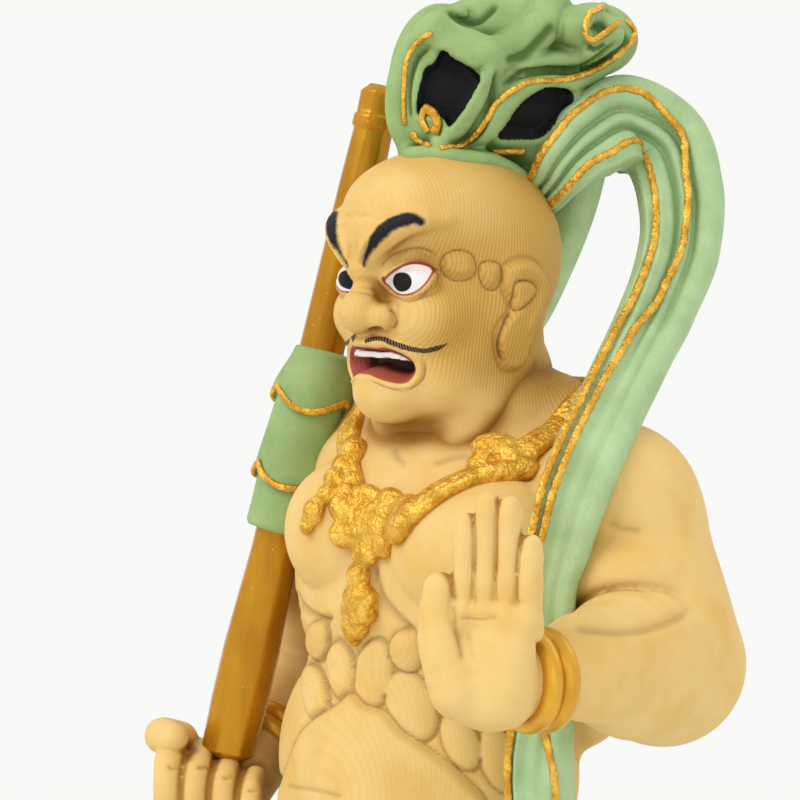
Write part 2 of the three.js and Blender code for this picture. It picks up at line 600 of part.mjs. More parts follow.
function strand(stations, steps) {
  const path = stationsAlong(stations, steps);
  const sections = path.map(({ point, tangent, values }, i) => {
    const [halfWidth, halfDepth, fx, fy, fz] = values;
    const face = new THREE.Vector3(fx, fy, fz);
    face.addScaledVector(tangent, -face.dot(tangent)).normalize();
    const across = new THREE.Vector3().crossVectors(tangent, face);
    const taper = i === 0 || i === path.length - 1 ? 0.6 : 1;
    return fluteProfile.map(([w, d]) => point.clone()
      .addScaledVector(across, w * halfWidth * taper)
      .addScaledVector(face, d * halfDepth * taper));
  });
  return toSolid(new LoftGeometry(sections, { closed: true, capStart: true, capEnd: true }));
}

function scarfSolid() {
  // Stations: place, half width, half depth, direction of the fluted face
  const leftArc = [
    [5, 13.6, 260, 3.6, 3.4, 0.2, -0.6, 0.8], [9.4, 18.6, 269.6, 4, 3.4, -0.1, -0.9, 0.4],
    [15.2, 22, 271.8, 4, 3.6, 0, -1, 0.1], [20.8, 21.8, 264, 4, 3.8, -0.3, -1, 0],
    [24.6, 19.6, 252, 4, 3.8, -0.4, -1, 0], [26.2, 13, 240.6, 3.9, 3.6, -0.2, -1, 0.3],
    [25.8, 5.4, 233.2, 3.9, 3.4, 0, -0.8, 0.8], [25.4, -6.6, 225.8, 3.8, 3.4, 0, -0.8, 0.8],
    [26.4, -15, 213.6, 3.8, 3, 0.1, -1, 0.1], [26.8, -17, 200, 3.8, 3, 0, -1, 0],
    [25.2, -13.6, 186, 3.8, 3, 0.2, -1, 0], [24.6, -10.6, 172, 4, 3, 0.4, -1, 0],
    [30.6, -11, 150, 4.6, 3, 0.6, -1, 0], [39, -12.6, 124, 5, 3, 0.7, -1, 0],
    [44.6, -13, 98, 5.4, 3, 0.8, -1, 0], [49, -12, 80, 5, 2.8, 0.6, -1, 0.5], [53.6, -11.4, 72, 3.4, 2.4, 0.4, -1, 1],
  ];
  const backStrand = [
    [10.6, 18.6, 268, 3.8, 3, 0, 1, 0], [8, 20.6, 258, 4.4, 3, 0, 1, 0], [3.4, 21.4, 247, 4, 3, 0, 1, 0.2],
    [-4, 20, 238, 3.8, 3, 0, 1, 0.4], [-13, 16, 231.6, 3.8, 3, 0, 0.8, 0.8],
    [-19.6, 7.4, 231.4, 3.8, 3, -0.2, 0.2, 1], [-22.4, -0.4, 233, 3.6, 3, -0.6, -0.6, 0.4],
  ];
  const sleeve = [[-23.8, 0.6, 235.4, 4.8], [-24.8, -0.5, 230, 5.2], [-26.2, -2.2, 221, 5.2], [-27.6, -3.8, 213.6, 4.8]];
  const rightTail = [
    [-10, 17.6, 233, 3.4, 2.8, 0, 1, 0.4], [-21, 20.6, 224, 3.6, 2.8, -0.2, 1, 0.2],
    [-30, 22.6, 210, 3.6, 2.8, -0.4, 1, 0], [-36, 23, 192, 3.6, 2.8, -0.6, 1, 0],
    [-37, 20, 172, 3.8, 2.8, -0.8, 0.8, 0], [-34, 14, 152, 4.2, 2.8, -1, 0.4, 0],
    [-36.6, 8.4, 128, 4.6, 2.8, -1, 0, 0], [-40, 4, 102, 5, 2.8, -1, -0.2, 0],
    [-44.6, 2, 84, 4.6, 2.6, -1, -0.4, 0.4], [-49, 1, 75, 3.2, 2.2, -0.6, -0.4, 1],
  ];
  return join([strand(leftArc, 48), strand(backStrand, 16), limb(sleeve, { sides: 10, rings: 5 }), strand(rightTail, 24)]);
}

// Plinth: a low rock with a flat underside, a flat top and ledges round the sides
const plinthSize = { x: 104, y: 76, middle: [1, -3] };

function plinthSolid() {
  const levels = [
    [0, 0], [0, 1], [0.1, 1.02], [0.34, 0.985], [0.4, 0.93], [0.62, 0.9], [0.7, 0.83], [0.92, 0.8], [1, 0.76], [1, 0],
  ];
  const around = 32;
  const geometry = new ParametricGeometry((u, v, target) => {
    const angle = u * 2 * Math.PI;
    const level = levels[Math.round(v * (levels.length - 1))];
    const rough = 0.03 * Math.cos(7 * angle + 3 * level[0]) + 0.025 * Math.cos(11 * angle - 5 * level[0])
      + 0.02 * Math.cos(4 * angle + 1.3);
    const cornerPower = 3.2;
    const c = Math.abs(Math.cos(angle)) ** cornerPower;
    const s = Math.abs(Math.sin(angle)) ** cornerPower;
    const outline = 1 / (c + s) ** (1 / cornerPower);
    const reach = outline * level[1] * (1 + rough * (level[1] > 0 ? 1 : 0));
    target.set(
      plinthSize.middle[0] + (plinthSize.x / 2) * reach * Math.cos(angle),
      plinthSize.middle[1] + (plinthSize.y / 2) * reach * Math.sin(angle),
      plinthHeight * level[0],
    );
  }, around, levels.length - 1);
  return toSolid(geometry);
}

// Half space below the soles, so the feet stand flat just over the plinth
function belowSoles() {
  const box = new THREE.BoxGeometry(300, 300, 100);
  box.translate(0, 0, soleHeight - 50);
  return toSolid(box);
}

// The face, topknot and hands are carved finer than the body
function figureTolerance(spot) {
  if (spot.z > headHeight - 20 && Math.abs(spot.x) < 20) return carvingTolerance.head;
  const nearLeftHand = spot.y < -31 && spot.x > 26 && spot.z > 190;
  const nearFist = spot.x < -24 && spot.y < -4 && spot.z > 164;
  return nearLeftHand || nearFist ? carvingTolerance.hands : carvingTolerance.body;
}

const club = clubSolid(0);
const clubWithGap = clubSolid(fitGap);
const carved = mainBody(figureSolid(0).subtract(mouthCut()).subtract(belowSoles()).subtract(clubWithGap));
const figure = faceted(carved, figureTolerance);
const figureWithGap = faceted(figureSolid(fitGap), figureTolerance);
const cloth = faceted(scarfSolid(), () => carvingTolerance.scarf);
const fitted = mainBody(cloth.subtract(figureWithGap).subtract(clubWithGap));
const scarf = faceted(fitted, () => carvingTolerance.fitted);
const plinth = plinthSolid();

const group = new THREE.Group();
group.add(toMesh(figure, 'figure', 0xd9b27c));
group.add(toMesh(scarf, 'scarf', 0x9ccfa8));
group.add(toMesh(club, 'club', 0xc98f2e));
group.add(toMesh(plinth, 'plinth', 0x5a4230));

export default group;
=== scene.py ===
"""Carved and painted temple guardian: the finished surfaces round the statue's solid frame.

Forms are worked out in millimetres, with +Z up and the chest facing -Y, and laid down in metres.
"""
import math

import bmesh
import bpy
import numpy as np
from mathutils import Euler, Matrix


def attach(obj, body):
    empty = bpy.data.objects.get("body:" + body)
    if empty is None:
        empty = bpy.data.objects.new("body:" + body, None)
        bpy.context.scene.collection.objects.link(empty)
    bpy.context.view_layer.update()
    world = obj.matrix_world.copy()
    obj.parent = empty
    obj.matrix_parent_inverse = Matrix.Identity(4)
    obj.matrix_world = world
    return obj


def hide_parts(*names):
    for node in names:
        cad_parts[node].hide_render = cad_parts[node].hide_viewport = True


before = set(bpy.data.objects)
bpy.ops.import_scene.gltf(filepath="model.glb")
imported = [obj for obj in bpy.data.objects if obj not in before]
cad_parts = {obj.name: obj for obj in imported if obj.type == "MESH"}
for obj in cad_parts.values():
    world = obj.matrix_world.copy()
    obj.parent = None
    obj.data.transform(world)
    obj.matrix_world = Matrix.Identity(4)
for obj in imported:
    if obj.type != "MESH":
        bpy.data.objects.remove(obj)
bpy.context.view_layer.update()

bl_info = {
    "name": "Carved temple guardian",
    "version": (1, 0, 0),
    "blender": (4, 5, 0),
    "location": "View3D > Sidebar > Guardian",
    "description": "Makes the painted surfaces of a carved guardian statue round its solid frame",
    "category": "Object",
}

MM = 0.001
FAR = 1000.0

# The camera of the photograph, in millimetres, and its frame of 800 by 800 pixels
PHOTO_MIDDLE = 400.0
FOCAL_PIXELS = 2222.0
VIEW_AZIMUTH = math.radians(40)
VIEW_ELEVATION = math.radians(5)
CAMERA_PLACE = np.array((185.09, -231.36, 256.56))
VIEW_RIGHT = np.array((math.cos(VIEW_AZIMUTH), math.sin(VIEW_AZIMUTH), 0))
VIEW_AHEAD = np.array((
    -math.sin(VIEW_AZIMUTH) * math.cos(VIEW_ELEVATION),
    math.cos(VIEW_AZIMUTH) * math.cos(VIEW_ELEVATION),
    -math.sin(VIEW_ELEVATION),
))
VIEW_UP = np.cross(VIEW_RIGHT, VIEW_AHEAD)

# The head's own frame: its middle is above the origin and it is turned to the figure's right
HEAD_HEIGHT = np.array((0, 0, 246.0))
HEAD_TURN = -12.0


def full_turn(count, closing=True):
    """Angles of one full turn, with the first angle again at the end where it is closing"""
    angles = np.linspace(0, 2 * math.pi, count + 1)
    return angles if closing else angles[:-1]


def unit(vectors):
    return vectors / np.maximum(np.linalg.norm(vectors, axis=-1, keepdims=True), 1e-9)


def ramp(low, high, value):
    t = np.clip((value - low) / (high - low), 0, 1)
    return t * t * (3 - 2 * t)


def bell(value, middle, width):
    """1 at the middle value, easing to 0 on both sides"""
    return np.exp(-((value - middle) / width) ** 2)


def rotation(turn):
    """Turned in degrees about X, Y and then Z"""
    return np.array(Euler([math.radians(angle) for angle in turn]).to_matrix())


HEAD_AXES = rotation((0, 0, HEAD_TURN))


def from_head(points):
    return np.asarray(points, float) @ HEAD_AXES.T + HEAD_HEIGHT


def to_head(points):
    return (points - HEAD_HEIGHT) @ HEAD_AXES


def to_photo(points):
    offset = points - CAMERA_PLACE
    scale = FOCAL_PIXELS / (offset @ VIEW_AHEAD)
    across = PHOTO_MIDDLE + scale * (offset @ VIEW_RIGHT)
    down = PHOTO_MIDDLE - scale * (offset @ VIEW_UP)
    return np.column_stack([across, down])


def photo_ray(pixels):
    pixels = np.atleast_2d(np.asarray(pixels, float))
    across = (pixels[:, :1] - PHOTO_MIDDLE) / FOCAL_PIXELS
    rise = (PHOTO_MIDDLE - pixels[:, 1:2]) / FOCAL_PIXELS
    return VIEW_AHEAD + across * VIEW_RIGHT + rise * VIEW_UP


def photo_point(pixel, depth):
    return CAMERA_PLACE + photo_ray(pixel)[0] * depth


def route(stations, t, closed=False):
    """Smooth path through stations; the numbers after x, y, z ease from one station to the next"""
    stations = np.array(stations, float)
    count = len(stations)
    spans = count if closed else count - 1
    place = np.clip(np.asarray(t, float), 0, 1) * spans
    k = np.minimum(place.astype(int), spans - 1)
    mix = (place - k)[:, None]

    def pick(i):
        if closed:
            return stations[i % count, :3]
        found = stations[np.clip(i, 0, count - 1), :3].copy()
        found[i < 0] = 2 * stations[0, :3] - stations[1, :3]
        found[i > count - 1] = 2 * stations[-1, :3] - stations[-2, :3]
        return found

    p0, p1, p2, p3 = pick(k - 1), pick(k), pick(k + 1), pick(k + 2)

    def gap(a, b):
        return np.maximum(np.sqrt(np.linalg.norm(b - a, axis=1, keepdims=True)), 1e-4)

    d0, d1, d2 = gap(p0, p1), gap(p1, p2), gap(p2, p3)
    m1 = ((p1 - p0) / d0 - (p2 - p0) / (d0 + d1) + (p2 - p1) / d1) * d1
    m2 = ((p2 - p1) / d1 - (p3 - p1) / (d1 + d2) + (p3 - p2) / d2) * d1
    square = 3 * (p2 - p1) - 2 * m1 - m2
    cube = 2 * (p1 - p2) + m1 + m2
    points = p1 + m1 * mix + square * mix ** 2 + cube * mix ** 3
    tangents = m1 + 2 * square * mix + 3 * cube * mix ** 2
    ease = mix * mix * (3 - 2 * mix)
    start = stations[k, 3:]
    following = (k + 1) % count if closed else np.minimum(k + 1, count - 1)
    values = start + (stations[following, 3:] - start) * ease
    return points, tangents, values


# Limbs have this many straight spans between stations, and forms are measured this far beyond their own size
LIMB_STEPS = 3
MARGIN = 4
# A ray from the camera starts this far out, takes this many careful steps, and has hit within this distance
RAY_START = 200.0
RAY_STEPS = 90
RAY_CARE = 0.7
RAY_LONGEST = 20
RAY_HIT = 0.3


def oval_distance(local, size):
    inner = np.linalg.norm(local / size, axis=1)
    slope = np.linalg.norm(local / size ** 2, axis=1)
    return inner * (inner - 1) / np.maximum(slope, 1e-6)


class Swelling:
    """Oval form with its size along three axes"""

    def __init__(self, at, size, axes, blend):
        self.middle = np.asarray(at, float)
        self.size = np.asarray(size, float)
        self.axes = axes
        self.blend = blend
        self.reach = self.size.max() + blend + MARGIN

    def distance(self, points):
        return oval_distance((points - self.middle) @ self.axes, self.size)

    def add_rough(self, bm):
        ball(bm, self.middle, self.axes * self.size, 20, 14)


class Limb:
    """Rounded form along stations, each with one radius or with a width and a depth"""

    def __init__(self, stations, up, blend):
        t = np.linspace(0, 1, (len(stations) - 1) * LIMB_STEPS + 1)
        self.points, _, values = route(stations, t)
        self.radii = np.column_stack([values[:, 0], values[:, -1]])
        self.up = np.asarray(up, float)
        self.blend = blend
        self.middle = (self.points.min(axis=0) + self.points.max(axis=0)) / 2
        spread = np.linalg.norm(self.points - self.middle, axis=1).max()
        self.reach = spread + self.radii.max() + blend + MARGIN

    def distance(self, points):
        best = np.full(len(points), FAR)
        for a, b, ra, rb in zip(self.points[:-1], self.points[1:], self.radii[:-1], self.radii[1:]):
            span = b - a
            length = np.linalg.norm(span)
            reach = length / 2 + max(ra.max(), rb.max()) + self.blend + MARGIN
            near = np.nonzero(((points - (a + b) / 2) ** 2).sum(axis=1) < reach ** 2)[0]
            if not len(near):
                continue
            ahead = span / length
            side = unit(np.cross(self.up, ahead))
            lift = np.cross(ahead, side)
            offset = points[near] - a
            t = np.clip(offset @ ahead / length, 0, 1)[:, None]
            offset = offset - t * span
            radii = ra + (rb - ra) * t
            size = np.column_stack([radii, radii.min(axis=1)])
            local = np.column_stack([offset @ side, offset @ lift, offset @ ahead])
            best[near] = np.minimum(best[near], oval_distance(local, size))
        return best

    def add_rough(self, bm):
        tube(bm, self.points, self.radii[:, 0], self.radii[:, 1], self.up)


class Carving:
    """Distance field of rounded forms, each blended into the ones laid before it"""

    def __init__(self, forms=()):
        self.forms = list(forms)

    def swelling(self, at, size, turn=(0, 0, 0), blend=1.5):
        self.forms.append(Swelling(at, size, rotation(turn), blend))

    def in_head(self, at, size, turn=(0, 0, 0), blend=1.5):
        axes = rotation((turn[0], turn[1], turn[2] + HEAD_TURN))
        self.forms.append(Swelling(from_head(at), size, axes, blend))

    def limb(self, stations, up=(0, 1, 0), blend=1.5):
        self.forms.append(Limb(stations, up, blend))

    def head_limb(self, stations, up=(0, 1, 0), blend=1.5):
        placed = [(*from_head(s[:3]), *s[3:]) for s in stations]
        self.limb(placed, HEAD_AXES @ np.asarray(up, float), blend)

    def distance(self, points):
        total = np.full(len(points), FAR)
        for form in self.forms:
            near = np.nonzero(((points - form.middle) ** 2).sum(axis=1) < form.reach ** 2)[0]
            if not len(near):
                continue
            found = form.distance(points[near])
            before = total[near]
            overlap = np.maximum(form.blend - np.abs(before - found), 0) / form.blend
            total[near] = np.minimum(before, found) - overlap ** 2 * form.blend / 4
        return total

    def slope(self, points):
        """Distance and outward direction, from four samples round each point"""
        reach = 0.05
        corners = np.array([(1, 1, 1), (1, -1, -1), (-1, 1, -1), (-1, -1, 1)], float)
        samples = [self.distance(points + reach * corner) for corner in corners]
        rise = sum(sample[:, None] * corner for sample, corner in zip(samples, corners)) / (4 * reach)
        return sum(samples) / 4, rise

    def normals(self, points):
        return unit(self.slope(points)[1])

    def settle(self, points, steps=4):
        """Moves points on to the surface of the forms"""
        for _ in range(steps):
            distance, rise = self.slope(points)
            step = distance / np.maximum((rise ** 2).sum(axis=1), 0.2)
            points = points - np.clip(step, -1, 1)[:, None] * rise
        return points

    def seen(self, pixels):
        """The places on the surface that show at pixels of the photograph"""
        rays = unit(photo_ray(pixels))
        travelled = np.full(len(rays), RAY_START)
        for _ in range(RAY_STEPS):
            distance = self.distance(CAMERA_PLACE + rays * travelled[:, None])
            travelled = travelled + RAY_CARE * np.minimum(distance, RAY_LONGEST)
        return CAMERA_PLACE + rays * travelled[:, None]

    def rough(self, voxel):
        """One closed mesh round all the forms"""
        total = bmesh.new()
        for form in self.forms:
            bm = bmesh.new()
            form.add_rough(bm)
            add_all(total, bm)
        return voxel_mesh(total, voxel)


def to_mesh(bm, name):
    mesh = bpy.data.meshes.new(name)
    bm.to_mesh(mesh)
    bm.free()
    return mesh


def add_all(total, bm):
    """Moves all of a small mesh into a larger one"""
    bmesh.ops.recalc_face_normals(bm, faces=bm.faces)
    mesh = to_mesh(bm, "part")
    total.from_mesh(mesh)
    bpy.data.meshes.remove(mesh)


def ball(bm, at, axes, columns, rows):
    """Sphere drawn out along the columns of axes"""
    matrix = Matrix.Translation(at) @ Matrix(np.asarray(axes).tolist()).to_4x4()
    bmesh.ops.create_uvsphere(bm, u_segments=columns, v_segments=rows, radius=1, matrix=matrix)


def voxel_mesh(bm, voxel):
    """One closed mesh round everything in bm"""
    mesh = to_mesh(bm, "rough")
    holder = bpy.data.objects.new("rough", mesh)
    bpy.context.scene.collection.objects.link(holder)
    remesh = holder.modifiers.new("Remesh", "REMESH")
    remesh.mode = "VOXEL"
    remesh.voxel_size = voxel
    graph = bpy.context.evaluated_depsgraph_get()
    result = bpy.data.meshes.new_from_object(holder.evaluated_get(graph))
    bpy.data.objects.remove(holder)
    bpy.data.meshes.remove(mesh)
    return result


def read(parts, key, width, kind=float):
    """One row of values for each vertex, edge or face"""
    flat = np.empty(len(parts) * width, kind)
    parts.foreach_get(key, flat)
    return flat.reshape(-1, width)


def mesh_points(mesh):
    return read(mesh.vertices, "co", 3)


def mesh_edges(mesh):
    return read(mesh.edges, "vertices", 2, np.int32)


def set_points(mesh, points):
    mesh.vertices.foreach_set("co", np.ascontiguousarray(points).ravel())
    mesh.update()


def neighbour_mean(values, edges):
    size = len(values)
    count = np.maximum(np.bincount(edges.ravel(), minlength=size), 1)
    columns = []
    for k in range(values.shape[1]):
        column = values[:, k]
        total = np.bincount(edges[:, 0], column[edges[:, 1]], size)
        total += np.bincount(edges[:, 1], column[edges[:, 0]], size)
        columns.append(total / count)
    return np.column_stack(columns)


def smoothed(points, edges, amount=0.6):
    """Points drawn towards the middle of their neighbours"""
    return (1 - amount) * points + amount * neighbour_mean(points, edges)


def split_faces(mesh, chosen):
    """Splits the chosen faces, and the edges round them, in two each way"""
    bm = bmesh.new()
    bm.from_mesh(mesh)
    bm.faces.ensure_lookup_table()
    edges = {edge for face, yes in zip(bm.faces, chosen) if yes for edge in face.edges}
    bmesh.ops.subdivide_edges(bm, edges=list(edges), cuts=1, use_grid_fill=True)
    bm.to_mesh(mesh)
    bm.free()
    mesh.update()


def carved_mesh(carving, voxel, finer=()):
    """Mesh lying on the surface of a carving, split once more for each test that its faces pass"""
    mesh = carving.rough(voxel)
    points = carving.settle(mesh_points(mesh), 4)
    edges = mesh_edges(mesh)
    for _ in range(3):
        points = carving.settle(smoothed(points, edges), 2)
    set_points(mesh, points)
    for test in finer:
        split_faces(mesh, test(read(mesh.polygons, "center", 3)))
        points = carving.settle(mesh_points(mesh), 2)
        points = carving.settle(smoothed(points, mesh_edges(mesh), 0.5), 2)
        set_points(mesh, points)
    return mesh


# Distances in millimetres at which hollows are looked for
SHADE_REACHES = (0.8, 2.4, 6)


def shade_of(carving, points, normals):
    """How far each point lies in a hollow, from 0 in the open to 1"""
    hidden = np.zeros(len(points))
    for reach in SHADE_REACHES:
        free = np.clip(carving.distance(points + normals * reach) / reach, 0, 1)
        hidden += (1 - free) / len(SHADE_REACHES)
    return hidden


def carved_surface(carving, voxel, finer=(), surroundings=None):
    """Mesh on a carving, with its points, the way each one faces and how far it lies in a hollow"""
    mesh = carved_mesh(carving, voxel, finer)
    points = mesh_points(mesh)
    normals = carving.normals(points)
    return mesh, points, normals, shade_of(surroundings or carving, points, normals)


# Lines and outlines drawn in the photograph's frame, in millimetres at the statue, and how far they are felt
PIXELS_PER_MM = 7.6
LINE_REACH = 3.5


def smooth_line(line, closed=False, steps=None):
    """Flat line eased through its corners"""
    stations = np.column_stack([np.array(line, float), np.zeros(len(line))])
    steps = steps or 6 * (len(line) if closed else len(line) - 1)
    return route(stations, np.linspace(0, 1, steps + 1), closed=closed)[0][:, :2]


def drawn_line(line, closed=False):
    return smooth_line(line, closed) / PIXELS_PER_MM


def close_to(places, line):
    low = line.min(axis=0) - LINE_REACH
    high = line.max(axis=0) + LINE_REACH
    return np.nonzero(((places > low) & (places < high)).all(axis=1))[0]


def line_distance(places, line):
    """Distance from a line, flat or in space, and the place along it from 0 to 1"""
    near = close_to(places, line)
    close = places[near]
    best = np.full(len(near), FAR)
    part = np.zeros(len(near))
    lengths = np.maximum(np.linalg.norm(np.diff(line, axis=0), axis=1), 1e-6)
    start = 0.0
    for a, b, length in zip(line[:-1], line[1:], lengths):
        offset = close - a
        t = np.clip(offset @ (b - a) / length ** 2, 0, 1)
        found = np.linalg.norm(offset - t[:, None] * (b - a), axis=1)
        nearer = found < best
        best = np.where(nearer, found, best)
        part = np.where(nearer, (start + t * length) / lengths.sum(), part)
        start += length
    distance = np.full(len(places), FAR)
    along = np.zeros(len(places))
    distance[near] = best
    along[near] = part
    return distance, along


def outline_distance(places, outline):
    """Distance from a closed flat outline, negative inside"""
    corners = np.concatenate([outline, outline[:1]])
    distance, _ = line_distance(places, corners)
    near = close_to(places, outline)
    close = places[near]
    inside = np.zeros(len(near), bool)
    for a, b in zip(corners[:-1], corners[1:]):
        if a[1] == b[1]:
            continue
        crosses = (a[1] > close[:, 1]) != (b[1] > close[:, 1])
        inside ^= crosses & (close[:, 0] < a[0] + (close[:, 1] - a[1]) * (b[0] - a[0]) / (b[1] - a[1]))
    distance[near[inside]] *= -1
    return distance


def stroke(places, line, width, taper=0.15):
    """Strength from 0 to 1 of a soft line that fades at both ends"""
    distance, along = line_distance(places, line)
    return bell(distance, 0, width) * ramp(0, taper, along) * ramp(0, taper, 1 - along)


# Meshes laid as sheets of rows and columns, and the steps in degrees of a tube's rounded ends
END_STEPS = (0, 25, 50, 72)


def lay(bm, sheet):
    """Lays a grid over rows and columns of places and closes its seams and poles"""
    rows, columns = sheet.shape[:2]
    grid = bmesh.ops.create_grid(bm, x_segments=columns - 1, y_segments=rows - 1, size=1)
    for vert, place in zip(grid["verts"], sheet.reshape(-1, 3)):
        vert.co = place
    bmesh.ops.remove_doubles(bm, verts=grid["verts"], dist=1e-4)


def path_axes(points, face, closed):
    if closed:
        tangents = np.roll(points, -1, axis=0) - np.roll(points, 1, axis=0)
    else:
        tangents = np.gradient(points, axis=0)
    tangents = unit(tangents)
    face = np.broadcast_to(np.asarray(face, float), points.shape)
    lift = unit(face - (face * tangents).sum(axis=1, keepdims=True) * tangents)
    return np.cross(tangents, lift), lift, tangents


def tube(bm, points, half_width, half_depth=None, face=(0, 0, 1), sides=12, closed=False, section=None):
    """Band or cord along points; face is the way its half depth points"""
    points = np.asarray(points, float)
    across, lift, tangents = path_axes(points, face, closed)
    half_width = np.broadcast_to(np.asarray(half_width, float), len(points))
    half_depth = half_width if half_depth is None else np.broadcast_to(half_depth, len(points))
    if section is None:
        angles = full_turn(sides)
        section = np.column_stack([np.cos(angles), np.sin(angles)])
    section = np.broadcast_to(section, (len(points), *np.shape(section)[-2:]))
    if closed:
        order = np.append(np.arange(len(points)), 0)
        scale = np.ones(len(order))
        shift = np.zeros(len(order))
    else:
        curve = np.radians(END_STEPS)
        first = np.zeros(len(curve), int)
        order = np.concatenate([first, np.arange(len(points)), first + len(points) - 1])
        scale = np.concatenate([np.sin(curve), np.ones(len(points)), np.sin(curve[::-1])])
        shift = np.concatenate([-np.cos(curve), np.zeros(len(points)), np.cos(curve[::-1])])
    reach = np.minimum(half_width, half_depth)[order]
    middle = points[order] + tangents[order] * (shift * reach)[:, None]
    wide = (half_width[order] * scale)[:, None, None] * section[order][:, :, :1] * across[order][:, None]
    deep = (half_depth[order] * scale)[:, None, None] * section[order][:, :, 1:] * lift[order][:, None]
    lay(bm, middle[:, None] + wide + deep)


def make_piece(name, mesh, material, node, slot=None, attributes=None):
    """Finished object at the origin, in metres, riding on the statue in the place of a node"""
    set_points(mesh, mesh_points(mesh) * MM)
    for key, values in (attributes or {}).items():
        layer = mesh.attributes.new(key, "FLOAT", "POINT")
        layer.data.foreach_set("value", np.asarray(values, np.float32))
    mesh.shade_smooth()
    mesh.name = name
    piece = bpy.data.objects.new(name, mesh)
    bpy.context.scene.collection.objects.link(piece)
    piece.data.materials.append(material)
    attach(piece, "root")
    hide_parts(node)


def bmesh_piece(name, bm, material, node, **options):
    bmesh.ops.recalc_face_normals(bm, faces=bm.faces)
    make_piece(name, to_mesh(bm, name), material, node, **options)


# Materials

class Link:
    """A socket of a material, so that sums and products of sockets are plain expressions"""

    def __init__(self, finish, socket):
        self.finish = finish
        self.socket = socket

    def __add__(self, other):
        return self.finish.maths("ADD", self, other)

    def __sub__(self, other):
        return self.finish.maths("SUBTRACT", self, other)

    def __rsub__(self, other):
        return self.finish.maths("SUBTRACT", other, self)

    def __mul__(self, other):
        return self.finish.maths("MULTIPLY", self, other)

    __radd__ = __add__
    __rmul__ = __mul__

    def between(self, low, high):
        """0 at the low value, 1 at the high value, and smooth in between"""
        settings = {"interpolation_type": "SMOOTHSTEP"}
        values = {0: self, 1: low, 2: high, 3: 0.0, 4: 1.0}
        if low > high:
            return 1 - self.between(high, low)
        return self.finish.node("ShaderNodeMapRange", settings, values)


class Finish:
    """A material with one main shader, made from expressions"""

    def __init__(self, name, colour=None, metallic=0.0, gloss=0.5):
        self.material = bpy.data.materials.new(name)
        self.material.use_nodes = True
        self.tree = self.material.node_tree
        self.shader = next(n for n in self.tree.nodes if n.type == "BSDF_PRINCIPLED")
        self.shader.inputs["Metallic"].default_value = metallic
        self.shader.inputs["Specular IOR Level"].default_value = gloss
        self.colour = colour

    def node(self, kind, settings=None, values=None, output=0):
        node = self.tree.nodes.new(kind)
        for key, value in (settings or {}).items():
            setattr(node, key, value)
        for key, value in (values or {}).items():
            if isinstance(value, Link):
                self.tree.links.new(value.socket, node.inputs[key])
            else:
                node.inputs[key].default_value = value
        return Link(self, node.outputs[output])

    def maths(self, operation, first, second=0.0):
        return self.node("ShaderNodeMath", {"operation": operation}, {0: first, 1: second})

    def place(self):
        return self.node("ShaderNodeTexCoord", output="Object")

    def attribute(self, name):
        return self.node("ShaderNodeAttribute", {"attribute_name": name}, output="Fac")

    def noise(self, size, detail=2.0, vector=None):
        """Noise from 0 to 1 whose patches are about size millimetres across"""
        values = {"Vector": vector or self.place(), "Scale": 1 / (size * MM), "Detail": detail}
        return self.node("ShaderNodeTexNoise", None, values)

    def cells(self, size):
        values = {"Vector": self.place(), "Scale": 1 / (size * MM)}
        return self.node("ShaderNodeTexVoronoi", None, values)

    def along(self, direction):
        """Distance in millimetres along a direction"""
        vector = tuple(component / MM for component in direction)
        return self.node("ShaderNodeVectorMath", {"operation": "DOT_PRODUCT"},
                         {0: self.place(), 1: vector}, output="Value")

    def mix(self, amount, first, second):
        """First colour where the amount is 0, second where it is 1"""
        def four(colour):
            return colour if isinstance(colour, Link) else (*colour[:3], 1)
        return self.node("ShaderNodeMix", {"data_type": "RGBA"},
                         {0: amount, 6: four(first), 7: four(second)}, output=2)

    def paint(self, amount, colour):
        """Lays a colour over the ones before it"""
        self.colour = self.mix(amount, self.colour, colour)

    def feed(self, **sockets):
        """Feeds the shader with what is given and with the colour painted so far"""
        for key, value in {"base_color": self.colour, **sockets}.items():
            socket = self.shader.inputs[key.replace("_", " ").title()]
            if isinstance(value, Link):
                self.tree.links.new(value.socket, socket)
            else:
                socket.default_value = value

    def bump(self, *heights):
        """Heights are pairs of a link from 0 to 1 and its height in millimetres"""
        total = None
        for link, height in heights:
            part = link * height
            total = part if total is None else total + part
        normal = self.node("ShaderNodeBump", None, {"Height": total, "Distance": MM, "Strength": 1.0})
        self.tree.links.new(normal.socket, self.shader.inputs["Normal"])


def colours():
    return bpy.context.scene.guardian_colours


def sizes():
    return bpy.context.scene.guardian_sizes


def tool_marks(finish, pitch, direction):
    """Fine parallel passes of the cutting tool, from 0 to 1"""
    wander = finish.noise(9, 1) * 0.5
    angle = (finish.along(direction) + wander) * (2 * math.pi / pitch)
    return finish.maths("SINE", angle) * 0.5 + 0.5


